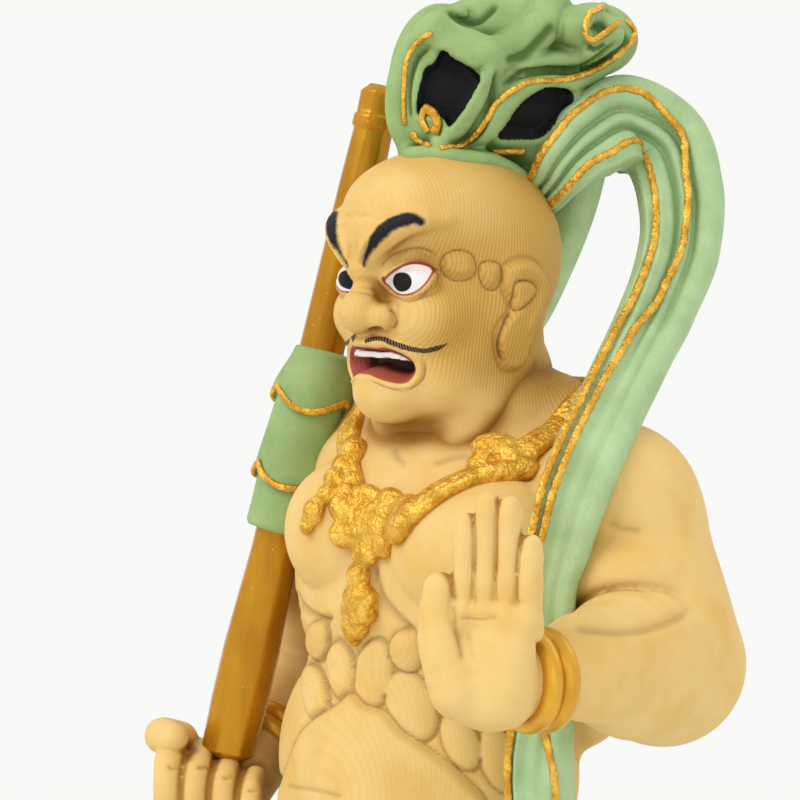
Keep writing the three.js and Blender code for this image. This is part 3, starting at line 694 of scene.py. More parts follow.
def skin_finish(name, painted_face=False):
    chosen = colours()
    finish = Finish(name, chosen.skin, gloss=0.22)
    shade = finish.attribute("shade")
    crease = finish.attribute("crease")
    tooling = finish.attribute("tooling")
    marks = tool_marks(finish, sizes().tool_pitch / MM, (-0.2, -0.97, 0.12))
    patches = finish.noise(7, 3)
    grain = finish.noise(0.5, 3)
    finish.paint(patches.between(0.35, 0.75), chosen.skin_warm)
    finish.paint(tooling * 0.9, chosen.skin_cut)
    # Painted shade in the hollows, from the shade measure
    finish.paint(shade.between(0.08, 0.7), chosen.skin_shade)
    # Painted shade in the valleys of the tool's passes
    finish.paint(marks.between(0.5, 0.0) * tooling * 0.4, chosen.skin_shade)
    # Painted shade: the cut lines are darkened towards the crease colour
    finish.paint(crease.between(0.12, 1.0) * 0.85, chosen.crease)
    unpainted = 1.0
    roughness = 0.66 - patches * 0.08
    if painted_face:
        # The nostrils are painted red-brown as shade in their hollows
        nostril = finish.attribute("nostril").between(0.2, -0.3)
        finish.paint(nostril * 0.85, chosen.nostril)
        hatch = tool_marks(finish, 0.34, (0.93, 0.1, 0.3)).between(0.1, 0.6)
        moustache = (finish.attribute("moustache") + (grain - 0.5) * 0.2).between(0.07, -0.1)
        finish.paint(moustache * (0.7 + 0.3 * hatch), chosen.hair)
        brow = (finish.attribute("brow") + (grain - 0.5) * 0.5).between(0.3, -0.4)
        finish.paint(brow, chosen.brow)
        mouth = finish.attribute("mouth")
        low = finish.along((0, 0, 1)).between(TONGUE_TOP, TONGUE_TOP - 1.6)
        inside = finish.mix(low, chosen.mouth, chosen.tongue)
        finish.paint(mouth.between(0.16, 0.02) * 0.9, chosen.rim)
        finish.paint(mouth.between(-0.3, -0.65), inside)
        finish.paint(finish.attribute("teeth").between(0.08, -0.04), chosen.white)
        finish.paint(finish.attribute("rim").between(0.08, -0.05) * 0.9, chosen.rim)
        eye = finish.attribute("eye").between(0.02, -0.08)
        finish.paint(eye, chosen.white)
        iris = finish.attribute("iris").between(0.05, -0.05)
        finish.paint(iris, chosen.hair)
        roughness = roughness - eye * (0.3 - 0.25 * iris)
        unpainted = 1 - finish.maths("MAXIMUM", eye, brow)
    finish.feed(roughness=roughness)
    finish.bump((marks * tooling * unpainted, 0.05), (grain, 0.014))
    return finish.material


def cloth_finish(name, colour, deep, windows=False):
    finish = Finish(name, colour, gloss=0.2)
    shade = finish.attribute("shade")
    patches = finish.noise(5, 3)
    speckle = finish.noise(0.35, 2)
    finish.paint(patches.between(0.25, 0.75) * 0.35, deep)
    # Painted shade in the folds and hollows of the cloth
    finish.paint(shade.between(0.1, 0.8), deep)
    finish.paint(speckle.between(0.62, 0.72) * 0.3, deep)
    if windows:
        finish.paint(finish.attribute("window").between(0.06, -0.06), colours().hair)
    finish.feed(roughness=0.55 + 0.15 * patches)
    marks = tool_marks(finish, 0.45, (0.3, 0.2, 0.93))
    finish.bump((speckle, 0.02), (marks, 0.006))
    return finish.material


def gilt_finish(name):
    chosen = colours()
    finish = Finish(name, chosen.gold, metallic=0.7)
    grains = finish.cells(0.4)
    knobs = finish.cells(1)
    fine = finish.noise(0.16, 2)
    patches = finish.noise(1.8, 3)
    finish.paint(patches.between(0.35, 0.65), chosen.dark_gold_and_shade)
    # Painted shade: the hollows between the grains and the knobs are darkened
    finish.paint(grains.between(0.4, 0.95) * 0.7, chosen.dark_gold_and_shade)
    finish.paint(knobs.between(0.55, 0.95) * 0.5, chosen.dark_gold_and_shade)
    finish.feed(roughness=0.32 + 0.2 * fine)
    finish.bump((grains, -0.12), (knobs, -0.24), (fine, 0.05))
    return finish.material


def satin_gilt_finish():
    chosen = colours()
    finish = Finish("satin_gilt", chosen.dark_gold_and_shade, metallic=0.45, gloss=0.4)
    patches = finish.noise(3, 3)
    fine = finish.noise(0.4, 2)
    finish.paint(patches.between(0.3, 0.7), chosen.gold_satin)
    finish.feed(roughness=0.26 + 0.16 * fine)
    finish.bump((fine, 0.014))
    return finish.material


def club_finish():
    chosen = colours()
    finish = Finish("club_gilt", chosen.club, gloss=0.35)
    settings = {"Vector": finish.place(), "Scale": (1.0, 1.0, 0.12)}
    stretched = finish.node("ShaderNodeMapping", None, settings)
    streaks = finish.noise(1.6, 2, stretched)
    patches = finish.noise(9, 2)
    finish.paint(streaks.between(0.3, 0.8) * 0.45, chosen.club_deep)
    finish.paint(patches.between(0.35, 0.75) * 0.5, chosen.club_deep)
    # Painted glints: small specks of bright gold, which are also more metallic
    glints = finish.noise(0.6, 2).between(0.7, 0.76)
    finish.paint(glints * 0.7, chosen.gold)
    finish.feed(roughness=0.2 + 0.16 * streaks, metallic=0.55 + 0.3 * glints)
    finish.bump((streaks, 0.02), (finish.noise(0.35, 1), 0.008))
    return finish.material


def rock_finish():
    chosen = colours()
    finish = Finish("rock_plinth", chosen.rock)
    patches = finish.noise(11, 5)
    fine = finish.noise(1.2, 4)
    finish.paint(patches.between(0.35, 0.65), chosen.rock_deep)
    finish.paint(fine.between(0.6, 0.75) * 0.4, chosen.rock)
    finish.feed(roughness=0.6 + 0.25 * fine)
    finish.bump((fine, 0.12), (patches, 0.5))
    return finish.material


# Carved forms

def add_head(carving):
    head = carving.in_head
    # Skull, forehead, face, jaw, chin and the root of the nose
    head((0, 1.6, 4), (13.4, 13.4, 14), blend=3)
    head((0, -4.8, 9.5), (11.1, 10.6, 7.8), blend=4)
    head((0, -2.4, -5), (12.2, 11.2, 12.2), blend=3)
    head((0, -4.6, -10.8), (10, 8.8, 7.4), blend=3)
    head((0, -10.6, -13.8), (5, 4.6, 4), blend=2)
    head((0, -10.4, 2.8), (6, 5, 3.4), blend=2)
    # Corners of the jaw, cheeks and the ridges of the brows
    for s in (-1, 1):
        head((s * 7.2, -4.2, -10.8), (4.4, 5.7, 5.8), blend=2.5)
        head((s * 6.4, -8.6, -3.8), (5.4, 4.9, 4.8), blend=1.6)
        carving.head_limb([(s * 1.2, -14.9, 2.8, 1.4), (s * 2.5, -15.3, 4.7, 1.8), (s * 5, -14.9, 7, 1.9),
                           (s * 8, -12.6, 8.6, 1.5), (s * 10.2, -9.2, 8.8, 0.7)], blend=1.3)
    # Bridge and tip of the nose, the frown, and the muzzle round the mouth
    carving.head_limb([(0, -14.4, 2.6, 1.9), (0, -14.4, 0.6, 1.6), (0, -14.8, -1.6, 2),
                       (0, -15.3, -3.1, 2.8)], up=(0, 0, 1), blend=0.8)
    head((0, -13, 7.8), (4.8, 3.1, 4.4), blend=2)
    head((0, -8.6, -9.6), (6.6, 5.9, 5.2), blend=1)
    head((0, -10.4, -6.9), (4.6, 4.8, 2.2), blend=1.2)
    # Wings of the nose, eyeballs and ears
    for s in (-1, 1):
        head((s * 2.9, -13.7, -3.7), (2, 2.1, 1.9), blend=0.9)
        head((s * 6.4, -11.2, 0.9), (3.2, 2.3, 2.4), blend=0.5)
        head((s * 12, 1.2, -3), (1.6, 4, 6.6), (6, 0, 0), blend=2)


def add_torso(carving):
    body = carving.swelling
    # Chest, shoulder line, waist and hips
    body((-0.8, 0.4, 206), (24.4, 15.4, 23.5), blend=3)
    body((1, 2.6, 220.5), (25.6, 11.6, 9.5), blend=4)
    body((-3, -1.6, 181), (22.4, 17, 21), blend=3)
    body((-4, 1, 160), (22.6, 16.6, 17), blend=3)
    # Shoulder blades, upper back, the two ridges beside the spine, and the seat
    for s in (-1, 1):
        body((s * 14.5, 8, 203), (11.4, 8.4, 19), blend=2.5)
        body((s * 12, 10.6, 216), (10, 6.4, 10), blend=2)
        body((s * 6 - 1, 11.6, 188), (6.4, 5.4, 20), blend=2)
        body((s * 7 - 4, 7, 152), (12, 8.6, 12), blend=2)
    # Breasts, slopes of the shoulders, sides of the neck and the belly
    body((12.6, -9, 212.4), (13.6, 8.6, 9.8), (0, -8, 6), blend=0.4)
    body((-11.2, -7.6, 212.6), (10, 8.4, 9.8), (0, 8, -8), blend=0.4)
    for s in (-1, 1):
        carving.limb([(s * 6.6, 6.8, 231.2, 5.2), (s * 14, 6.6, 227.6, 6), (s * 23, 6, 221.4, 6)], blend=2.5)
        body((s * 9, 0.8, 230.4), (4.6, 5.2, 6), blend=3)
    body((-1, -7.8, 178), (13.4, 13, 15), blend=1.5)


LEFT_PALM = (34.6, -36.4)
LEFT_PALM_YAW = math.radians(20)
FINGER_TIPS = (222.3, 224.9, 224.4, 220.2)


def turned(middle, yaw, across, ahead, z, *radii):
    """Station beside and in front of a middle that is turned by yaw"""
    c = math.cos(yaw)
    s = math.sin(yaw)
    return (middle[0] + across * c + ahead * s, middle[1] + across * s - ahead * c, z, *radii)


def left_hand(across, out, z, *radii):
    return turned(LEFT_PALM, LEFT_PALM_YAW, across, out, z, *radii)


def add_left_arm(carving):
    elbow = (34.4, -1, 199.8)
    wrist = (37.4, -29.4, 203.5)
    # Shoulder, upper arm and forearm
    carving.swelling((25.8, 1, 217), (11.2, 11.6, 12.3), blend=1.2)
    carving.limb([(27, 1, 214, 10.8), (30.8, 0, 207, 10.6), (*elbow, 10.4)], blend=1.6)
    carving.swelling((30.6, -4.4, 210.6), (8.6, 8.6, 6.4), blend=0.9)
    carving.limb([(*elbow, 10.2), (36, -9, 201.2, 9.4), (37.8, -18.6, 202.8, 7), (*wrist, 4.8),
                  (35.6, -34, 203, 4.5)], up=(0, 0, 1), blend=0.5)
    # Palm, heel of the hand, thumb and four fingers
    carving.limb([left_hand(-0.2, 0, 201.4, 5.4, 3.8), left_hand(0, 0, 206.6, 6, 3.2),
                  left_hand(1, 0, 211, 5.3, 2.3)], blend=1.2)
    carving.swelling(left_hand(2.8, 1.2, 203.6), (3, 2.6, 4.8), blend=1)
    carving.limb([left_hand(-3, 1.4, 202.4, 3.5), left_hand(-4.8, 1.6, 207, 2.9),
                  left_hand(-5.6, 1.2, 210.4, 2.3), left_hand(-5.6, 0.8, 213.6, 1.9)], blend=0.9)
    for i, tip in enumerate(FINGER_TIPS):
        across = 1.1 + 2.5 * (i - 1.5)
        carving.swelling(left_hand(across, 0.9, 211), (1.5, 1.6, 2.2), blend=0.8)
        carving.limb([left_hand(across, 0.2, 209.4, 1.55), left_hand(across, 0.5, 212.4, 1.44),
                      left_hand(across, 0.5, 214.6, 1.52), left_hand(across, 0.3, 216.6, 1.4),
                      left_hand(across, 0.1, tip - 2.6, 1.44), left_hand(across, 0, tip - 1.2, 1.2)],
                     blend=0.12)


FIST_PLACE = np.array((-34, -11, 175.0))
FIST_ACROSS = np.array((0.82, 0.57, -0.15))
FIST_OUT = np.array((0.57, -0.82, 0))


def fist(across, out, up, *radii):
    return (*(FIST_PLACE + across * FIST_ACROSS + out * FIST_OUT + (0, 0, up)), *radii)


def add_right_arm(carving):
    # Shoulder, upper arm and forearm
    carving.swelling((-25.6, 7.4, 216), (10.4, 11, 12), blend=1.2)
    carving.limb([(-27, 9, 213, 10), (-32.4, 11, 201, 8.8), (-37, 12, 190.4, 7.4)], blend=1.6)
    carving.swelling((-31.4, 6, 204), (7.4, 7, 8.6), blend=1)
    carving.limb([(-37, 12, 190.4, 7.2), (-36.2, 7.6, 184.6, 7.6), (-34.8, 1.6, 178.6, 6),
                  (-34.4, -4, 176, 5.2)], up=(1, 0, 0), blend=0.8)
    # Back of the hand, palm, thumb and four fingers round the club
    carving.limb([fist(-3.6, -4.6, -0.4, 5), fist(2.8, -4.6, -0.4, 5)], up=(0, 0, 1), blend=1.5)
    carving.swelling(fist(0, -0.6, -3.2), (7.6, 6.2, 4.2), (0, 0, 35), blend=1.2)
    carving.limb([fist(-6, -4, 4, 2.8), fist(-7.4, 0.6, 5.6, 2.6), fist(-5.2, 4, 6.4, 2.1)],
                 up=(0, 0, 1), blend=0.6)
    for i in range(4):
        across = -5.8 + 3.9 * i
        radius = 2.05 - 0.08 * i
        top = 3.2 - 0.7 * i
        carving.limb([fist(across, 0, -7, radius), fist(across, 4.3, -5.2, radius),
                      fist(across, 5.4, -0.8, radius), fist(across, 4.4, top, radius),
                      fist(across, 1.4, top + 1, radius * 0.9)], up=FIST_ACROSS, blend=0.6)


# Hip, knee, calf and ankle of each leg, and how far its foot turns out
LEGS = [
    ((-13, 1, 140), (-16, -5, 96), (-17.4, 3, 74), (-18, 5, 44), -16),
    ((7, 0, 140), (15.6, -11, 98), (18, -3, 75), (20, -2, 44), 22),
]
SOLE_HEIGHT = 28.3
# Edges of the coarse faces of the legs, the topknot and the necklace
LEG_VOXEL = 0.9
TOPKNOT_VOXEL = 0.42
NECKLACE_VOXEL = 0.3


def add_leg(carving, hip, knee, calf, ankle, turn):
    def foot(across, ahead, z, *radii):
        return turned(ankle, math.radians(turn), across, ahead, z, *radii)

    carving.limb([(*hip, 11.6), ((hip[0] + knee[0]) / 2, (hip[1] + knee[1]) / 2, 118, 10.4), (*knee, 9)],
                 blend=3)
    carving.limb([(*knee, 8.8, 8.8), (*calf, 9, 10.2), (ankle[0], ankle[1] + 0.8, 58, 6.6, 7.6),
                  (*ankle, 5.2, 6), (ankle[0], ankle[1], 36, 5.6, 6.6)], blend=3)
    carving.swelling((knee[0], knee[1] - 4, knee[2] - 3), (5, 4.2, 5.6), blend=2)
    carving.limb([foot(0, -6, 33, 5.2, 4.8), foot(0, 1, 34.4, 5.2, 6.2), foot(0.4, 11, 32.4, 6, 4.4),
                  foot(0.6, 18.4, 31, 6.8, 3)], up=(0, 0, 1), blend=2)
    for s in (-1, 1):
        carving.swelling(foot(s * 5, 0, 43), (1.8, 1.8, 2.2), blend=1.5)
    for i in range(5):
        across = -math.copysign(1, turn) * (5.4 - 2.75 * i)
        radius = 2.4 if i == 0 else 1.7
        carving.limb([foot(across, 17.6, 30.8, radius), foot(across, 21.4 - 0.35 * i * i, 30.2, radius)],
                     up=(0, 0, 1), blend=0.4)


# Heights of the skirt's waist and hem, its reach and flare, number of its folds and depth of its hollow
WAIST, HEM = 169, 84
SKIRT_REACH = np.array((22.6, 17.6))
SKIRT_FLARE = np.array((11.4, 8.4))
SKIRT_FOLDS = 9
SKIRT_HOLLOW = 14
# Level of the skirt's gilded edge, in the same measure as skirt_row
HEM_LEVEL = 0.742


def skirt_row(angles, v):
    """One level of the skirt: 0 to 0.1 closes the waist, then the outer face, then the hem and hollow"""
    drop = np.clip((v - 0.1) / 0.65, 0, 1)
    wave = np.cos(SKIRT_FOLDS * angles + 2.4 * drop) + 0.5 * np.cos(5 * angles + 1 + drop)
    sharp = 0.25 * np.abs(np.cos(SKIRT_FOLDS * angles / 2 + 1.2 * drop)) - 0.16
    fold = 1 + (0.02 + 0.085 * drop) * (wave + sharp)
    slit = 5 * np.cos(2 * angles + 0.4) - 7 * np.cos(angles - 0.5)
    hem_height = HEM + slit + 2.5 * np.cos(SKIRT_FOLDS * angles)
    reach = fold
    z = WAIST + (hem_height - WAIST) * drop
    if v < 0.1:
        reach = fold * (v / 0.1)
    if v > 0.75:
        inward = (v - 0.75) / 0.25
        reach = fold * max(0, 1 - 0.12 * min(1, inward * 3) - 0.88 * max(0, inward * 1.5 - 0.5))
        z = hem_height + SKIRT_HOLLOW * min(1, inward * 1.8) - (hem_height - HEM) * min(1, inward)
    middle = (-4 + 4 * drop + 7 * drop * drop, 0.6 - 1.6 * drop)
    ring = np.column_stack([np.cos(angles), np.sin(angles)]) * reach[:, None]
    return np.column_stack([middle + ring * (SKIRT_REACH + SKIRT_FLARE * drop ** 0.8), z])


# Section of the sash, the middle and half widths of its ring, and its tails: place, half width and half depth
BAND_PROFILE = [(-1, 0.2), (-0.7, 1), (-0.35, 0.7), (0, 1), (0.35, 0.7), (0.7, 1), (1, 0.2), (0.8, -0.9),
                (0, -1), (-0.8, -0.9)]
SASH_MIDDLE = (-4, 0.6, 167.4)
SASH_REACH = (22.4, 17.6, 0)
SASH_TAILS = [
    [(-4.4, -18.4, 165, 2.6, 1.7), (-7, -21.6, 150, 3.2, 1.7),
     (-6, -25, 132, 3.8, 1.7), (-8.4, -26.6, 112, 4.2, 1.8)],
    [(-2.4, -18.4, 165, 2.6, 1.7), (1, -21.6, 152, 3, 1.7),
     (1.6, -24.4, 138, 3.6, 1.7), (5, -26.2, 122, 3.8, 1.8)],
]
NECKLACE_CORD = [
    (17.6, 8, 231.6), (18.4, 0.6, 229.6), (15.4, -8.2, 224), (9.6, -13.6, 219.4), (3.4, -16.4, 216.2),
    (-2.4, -15.8, 216.8), (-7, -13, 221), (-12, -8.4, 226), (-15.6, 0.4, 230.6), (-14, 9.4, 232.4),
    (0, 15.4, 232.6), (12, 13, 232.4),
]
# Lumps of the necklace: place in the photograph, and half width, half height and half depth in millimetres
NECKLACE_LUMPS = [
    ((366, 524), 4.3, 3.3, 1.5), ((407, 513), 2.5, 2.2, 1.3), ((346, 534), 2, 1.7, 1.2),
    ((346, 508), 2, 2, 1.3), ((348, 494), 1.6, 1.3, 1.1), ((370, 496), 2, 1.3, 1.1),
    ((400, 534), 2, 1.4, 1.1), ((368, 553), 2, 1.7, 1.2), ((385, 546), 1.6, 1.6, 1.1),
    ((392, 500), 1.8, 1.4, 1.1), ((396, 518), 3, 2.2, 1.6), ((384, 528), 2.6, 2, 1.5),
    ((405, 525), 2.2, 1.6, 1.5), ((414, 516), 1.8, 1.6, 1.4), ((496, 450), 2.9, 1.8, 1.6),
    ((520, 470), 2.4, 1.5, 1.5), ((500, 478), 2.9, 1.4, 1.5), ((480, 468), 1.6, 1.5, 1.2),
    ((512, 458), 1.6, 1.4, 1.5), ((361, 576), 1.5, 1.7, 1.3), ((363, 598), 2.5, 1.9, 1.5),
    ((362, 610), 2.7, 1.9, 1.5), ((358, 624), 2, 1.8, 1.3), ((356, 633), 1.1, 1.6, 1),
    ((357, 452), 1.8, 1.7, 1.4), ((347, 468), 1.7, 2, 1.4), ((336, 481), 1.4, 1.4, 1.2),
    ((354, 484), 1.3, 1.2, 1.1), ((328, 496), 1.2, 1.2, 1.1), ((316, 512), 1.4, 1.7, 1.1),
    ((310, 525), 0.9, 1.3, 0.9),
]
# Places across of the three cords of the necklace, and how much its lumps are swollen
CORD_OFFSETS = (-1.15, 0, 1.15)
LUMP_SWELL = (1.15, 1.15, 1.2)
# Both ends of each bracelet's axis, and its radius
BRACELETS = [((37.4, -28.8, 202.6), (36.2, -32.4, 202.9), 5), ((-35, 2.6, 179.6), (-34.8, -0.8, 177.6), 5.9)]

# Topknot cloth seen from the photograph's place: middle, depth from the camera, half width, height and depth
TOPKNOT_MASSES = [
    ((440, 90), 295, 52, 86, 8.2), ((480, 100), 295, 62, 62, 8.6), ((500, 36), 297, 62, 46, 7.6),
    ((592, 40), 301, 46, 37, 5.6), ((548, 62), 299, 50, 44, 6.4), ((518, 116), 297, 56, 44, 8),
]
# Rolls of cloth that stand on those masses: line in the photograph and radius in millimetres
TOPKNOT_ROLLS = [
    ([(410, 148), (398, 122), (397, 90), (404, 62), (418, 38), (438, 22), (458, 16)], 1.5),
    ([(440, 142), (458, 128), (473, 106), (485, 84), (500, 62)], 1.3),
    ([(448, 152), (470, 147), (488, 129), (502, 107), (517, 91), (540, 84), (566, 83), (590, 75), (612, 60),
      (627, 42)], 1.25),
    ([(438, 32), (462, 46), (490, 56), (516, 48), (540, 28), (552, 8)], 2.6),
    ([(520, 66), (550, 60), (580, 56), (600, 46), (612, 36)], 1.5),
    ([(603, 8), (591, 16), (587, 28), (592, 40), (605, 34), (619, 23)], 0.8),
]
# Lower border of the cloth: its seen part in the photograph, and its hidden part in millimetres
TOPKNOT_BORDER = [(413, 155), (432, 154), (462, 158), (492, 161), (516, 165), (529, 173), (539, 187)]
HIDDEN_BORDER = [(6.6, 9, 260.4), (0.6, 10.8, 261), (-6, 7.6, 262), (-6.6, 0.6, 263.6)]
BORDER_RADIUS = 1.15
# Outlines of the black hollows, gilded lines with their radius, and grooves with their width and depth
TOPKNOT_WINDOWS = [
    [(442, 50), (453, 58), (480, 76), (473, 94), (460, 115), (449, 127), (443, 119), (432, 115), (417, 115),
     (416, 104), (420, 83), (425, 68), (434, 62)],
    [(498, 138), (508, 122), (518, 107), (530, 96), (546, 88), (560, 88), (572, 92), (574, 103), (567, 114),
     (557, 123), (547, 134), (539, 139), (522, 140)],
]
TOPKNOT_TRIM = [
    ([(431, 34), (423, 38), (413, 48), (406, 63), (404, 83), (404, 103), (405, 123)], 0.36),
    ([(442, 148), (460, 146), (473, 138), (486, 122), (496, 105), (511, 92), (530, 82), (555, 81), (580, 76),
      (602, 66), (620, 53), (631, 42), (634, 31), (627, 22)], 0.42),
    ([(602, 7), (590, 14), (586, 25), (586, 35), (592, 40), (605, 33), (619, 22)], 0.42),
    ([(493, 151), (508, 151), (523, 151)], 0.5),
    ([(426, 108), (433, 113), (437, 121), (435, 131)], 0.62),
    ([(424, 110), (422, 119), (427, 130)], 0.45),
    ([(414, 134), (419, 141), (428, 146)], 0.5),
]
TOPKNOT_GROOVES = [
    ([(446, 4), (452, 11), (463, 20), (476, 22), (487, 14), (500, 0)], 0.5, 0.9),
    ([(558, 20), (542, 38), (526, 54), (502, 63)], 0.8, 0.6),
    ([(412, 124), (409, 100), (411, 76), (419, 56), (434, 44)], 0.35, 0.5),
    ([(499, 64), (494, 92), (488, 112), (478, 134), (462, 143)], 0.4, 0.7),
    ([(497, 93), (507, 82), (522, 73), (547, 70), (577, 70), (595, 60), (613, 45), (620, 34)], 0.4, 0.7),
    ([(585, 45), (592, 50), (606, 44)], 0.4, 0.5), ([(596, 22), (600, 26), (607, 22)], 1, 0.9),
    ([(424, 108), (425, 122), (428, 136)], 0.3, 0.3), ([(440, 110), (441, 124), (438, 138)], 0.3, 0.3),
]
WINDOW_DEPTH = 1.7
VIEW_AXES = np.column_stack([VIEW_RIGHT, VIEW_AHEAD, VIEW_UP])


def topknot_carving():
    cloth = Carving()
    for middle, depth, wide, high, deep in TOPKNOT_MASSES:
        scale = depth / FOCAL_PIXELS
        size = np.array([wide * scale, deep, high * scale])
        cloth.forms.append(Swelling(photo_point(middle, depth), size, VIEW_AXES, 1.5))
    cloth.swelling((6, 9.8, 268.6), (7.4, 6.4, 10), blend=2)
    cloth.swelling((-2.6, 5.8, 265.4), (6.4, 5.8, 6), blend=1.5)
    cloth.swelling((13.2, 11.2, 279.6), (5.4, 4.6, 3.2), (0, 10, 30), blend=2)
    masses = Carving(cloth.forms)
    for line, radius in TOPKNOT_ROLLS:
        points = masses.seen(line)
        cloth.limb([(*point, radius) for point in points], up=-VIEW_AHEAD, blend=0.5)
    skull = head_carving()
    seen = skull.seen(TOPKNOT_BORDER)
    border = [*seen[np.abs(skull.distance(seen)) < RAY_HIT], *HIDDEN_BORDER]
    border = [(*place, BORDER_RADIUS) for place in border]
    cloth.limb([*border, *border[:2]], up=(0, 0, 1), blend=1)
    return cloth


def topknot_detail(points, normals):
    """Folds and window hollows: inward move, shade in the folds and distance outside the windows"""
    drawn = to_photo(points) / PIXELS_PER_MM
    facing = (normals @ VIEW_AHEAD) < 0.2
    lift = np.zeros(len(points))
    shade = lift.copy()
    for line, width, depth in TOPKNOT_GROOVES:
        strength = np.where(facing, stroke(drawn, drawn_line(line), width), 0)
        lift -= depth * strength
        shade = np.maximum(shade, 0.9 * strength)
    window = np.minimum(*[outline_distance(drawn, drawn_line(line, True)) for line in TOPKNOT_WINDOWS])
    window = np.where(facing, window, FAR)
    hollow = WINDOW_DEPTH * ramp(0.0, -0.5, window)
    lift += 0.25 * bell(window, 0.5, 0.4)
    return lift - hollow, shade, np.clip(window, -PAINT_LIMIT, PAINT_LIMIT)


# Seen stations of the arc: pixel, depth from the camera, half width, half depth, places across of its hems
SEEN_ARC = [
    ((534, 204), 299, 2.4, 2, -0.8, 0.5), ((552, 183), 294, 3.2, 2.2, -0.84, 0.56),
    ((568, 161), 291.6, 4, 2.6, -0.84, 0.56), ((590, 140), 292.6, 5.2, 2.8, -0.76, 0.6),
    ((625, 124), 298, 6.4, 3, -0.64, 0.6), ((662, 142), 299, 6, 3, -0.4, 0.64),
    ((680, 190), 296, 5.6, 3, -0.12, 0.68), ((680, 245), 293, 5.2, 3, 0, 0.74),
    ((660, 305), 288, 4.7, 2.8, 0.14, 0.8), ((636, 355), 283, 4.4, 2.6, 0.45, 0.9),
    ((612, 405), 278.5, 4.3, 2.6, 0.6, 0.95), ((591, 450), 273.5, 4.3, 2.6, 0.62, 0.96),
    ((573, 495), 270.5, 4.2, 2.4, 0.62, 0.96), ((560, 540), 270, 3.9, 2.4, 0.62, 0.96),
    ((548, 590), 270, 3.4, 2.4, 0.62, 0.96), ((546, 660), 271, 3.4, 2.6, 0.62, 0.96),
]
# Stations below the arm: place, half width, half depth, direction of the fluted face
LOW_ARC = [
    (25.2, -13.6, 186, 3.8, 3, 0.2, -1, 0), (24.6, -10.6, 172, 4, 3, 0.4, -1, 0),
    (30.6, -11, 150, 4.6, 3, 0.6, -1, 0), (39, -12.6, 124, 5, 3, 0.7, -1, 0),
    (44.6, -13, 98, 5.4, 3, 0.8, -1, 0), (49, -12, 80, 5, 2.8, 0.6, -1, 0.5),
    (53.6, -11.4, 72, 3.4, 2.4, 0.4, -1, 1),
]
# Place across of the gilded hems of a calm stretch, and the width and depth of the gilding
CALM_HEM = 0.86
HEM_RADIUS = 0.5
HEM_DEPTH = 0.34


def hemmed(stations):
    return [(*station, -CALM_HEM, CALM_HEM) for station in stations]


def arc_stations():
    """All of the arc: place, half width, half depth, face, and the places across of its two hems"""
    stations = [(*photo_point(pixel, depth), wide, deep, *-VIEW_AHEAD, outer, inner)
                for pixel, depth, wide, deep, outer, inner in SEEN_ARC]
    return stations + hemmed(LOW_ARC)


# Stations behind the head and down the right side, with the same values as those of the low arc
BACK_STRAND = [
    (9.4, 17.6, 268, 3.4, 3, 0, 1, 0), (5.8, 18.8, 258, 3.4, 3, 0, 1, 0), (0.6, 19.6, 247, 2.9, 3, 0, 1, 0.2),
    (-5.4, 19.2, 238, 3, 3, 0, 1, 0.4), (-13, 16, 231.6, 3.4, 3, 0, 0.8, 0.8),
    (-19.6, 8.4, 230.6, 3.2, 2.8, -0.2, 0.2, 1), (-22.6, 3, 230.4, 2.6, 2.4, -0.6, -0.6, 0.4),
]
RIGHT_TAIL = [
    (-10, 17.6, 233, 3.4, 2.8, 0, 1, 0.4), (-21, 20.6, 224, 3.6, 2.8, -0.2, 1, 0.2),
    (-30, 22.6, 210, 3.6, 2.8, -0.4, 1, 0), (-36, 23, 192, 3.6, 2.8, -0.6, 1, 0),
    (-37, 20, 172, 3.8, 2.8, -0.8, 0.8, 0), (-34, 14, 152, 4.2, 2.8, -1, 0.4, 0),
    (-36.6, 8.4, 128, 4.6, 2.8, -1, 0, 0), (-40, 4, 102, 5, 2.8, -1, -0.2, 0),
    (-44.6, 2, 84, 4.6, 2.6, -1, -0.4, 0.4), (-49, 1, 75, 3.2, 2.2, -0.6, -0.4, 1),
]
# Sections of the scarf from its outer edge to its inner one and back: deep flutes above, calm cloth below
FLUTES = [(-1, 0.35), (-0.84, 0.86), (-0.62, 1), (-0.42, 0.86), (-0.26, 0.3), (-0.12, 0.78), (0.02, 0.84),
          (0.16, 0.25), (0.3, 0.78), (0.45, 0.9), (0.62, 1), (0.8, 0.84), (0.94, 0.8), (1, 0.4),
          (1, -0.5), (0.7, -1), (-0.7, -1), (-1, -0.5)]
CALM = [(-1, 0.4), (-0.84, 0.82), (-0.62, 0.96), (-0.42, 0.9), (-0.26, 0.8), (-0.12, 0.84), (0.02, 0.88),
        (0.16, 0.82), (0.3, 0.76), (0.45, 0.86), (0.62, 0.98), (0.8, 0.78), (0.94, 0.96), (1, 0.5),
        (1, -0.5), (0.7, -1), (-0.7, -1), (-1, -0.5)]
# Heights between which the flutes turn calm
CALM_FROM, CALM_TO = 264, 226
# Middle line of the sleeve: place and radius
SLEEVE = [(-23.4, 0.6, 236, 4.6), (-24.6, -0.5, 230, 5.4), (-26.2, -2.2, 221, 5.4), (-28, -4.4, 211, 4.8)]
# Places along the sleeve where each tier ends
SLEEVE_TIERS = [0, 0.36, 0.76, 1]
SLEEVE_ROWS = 121


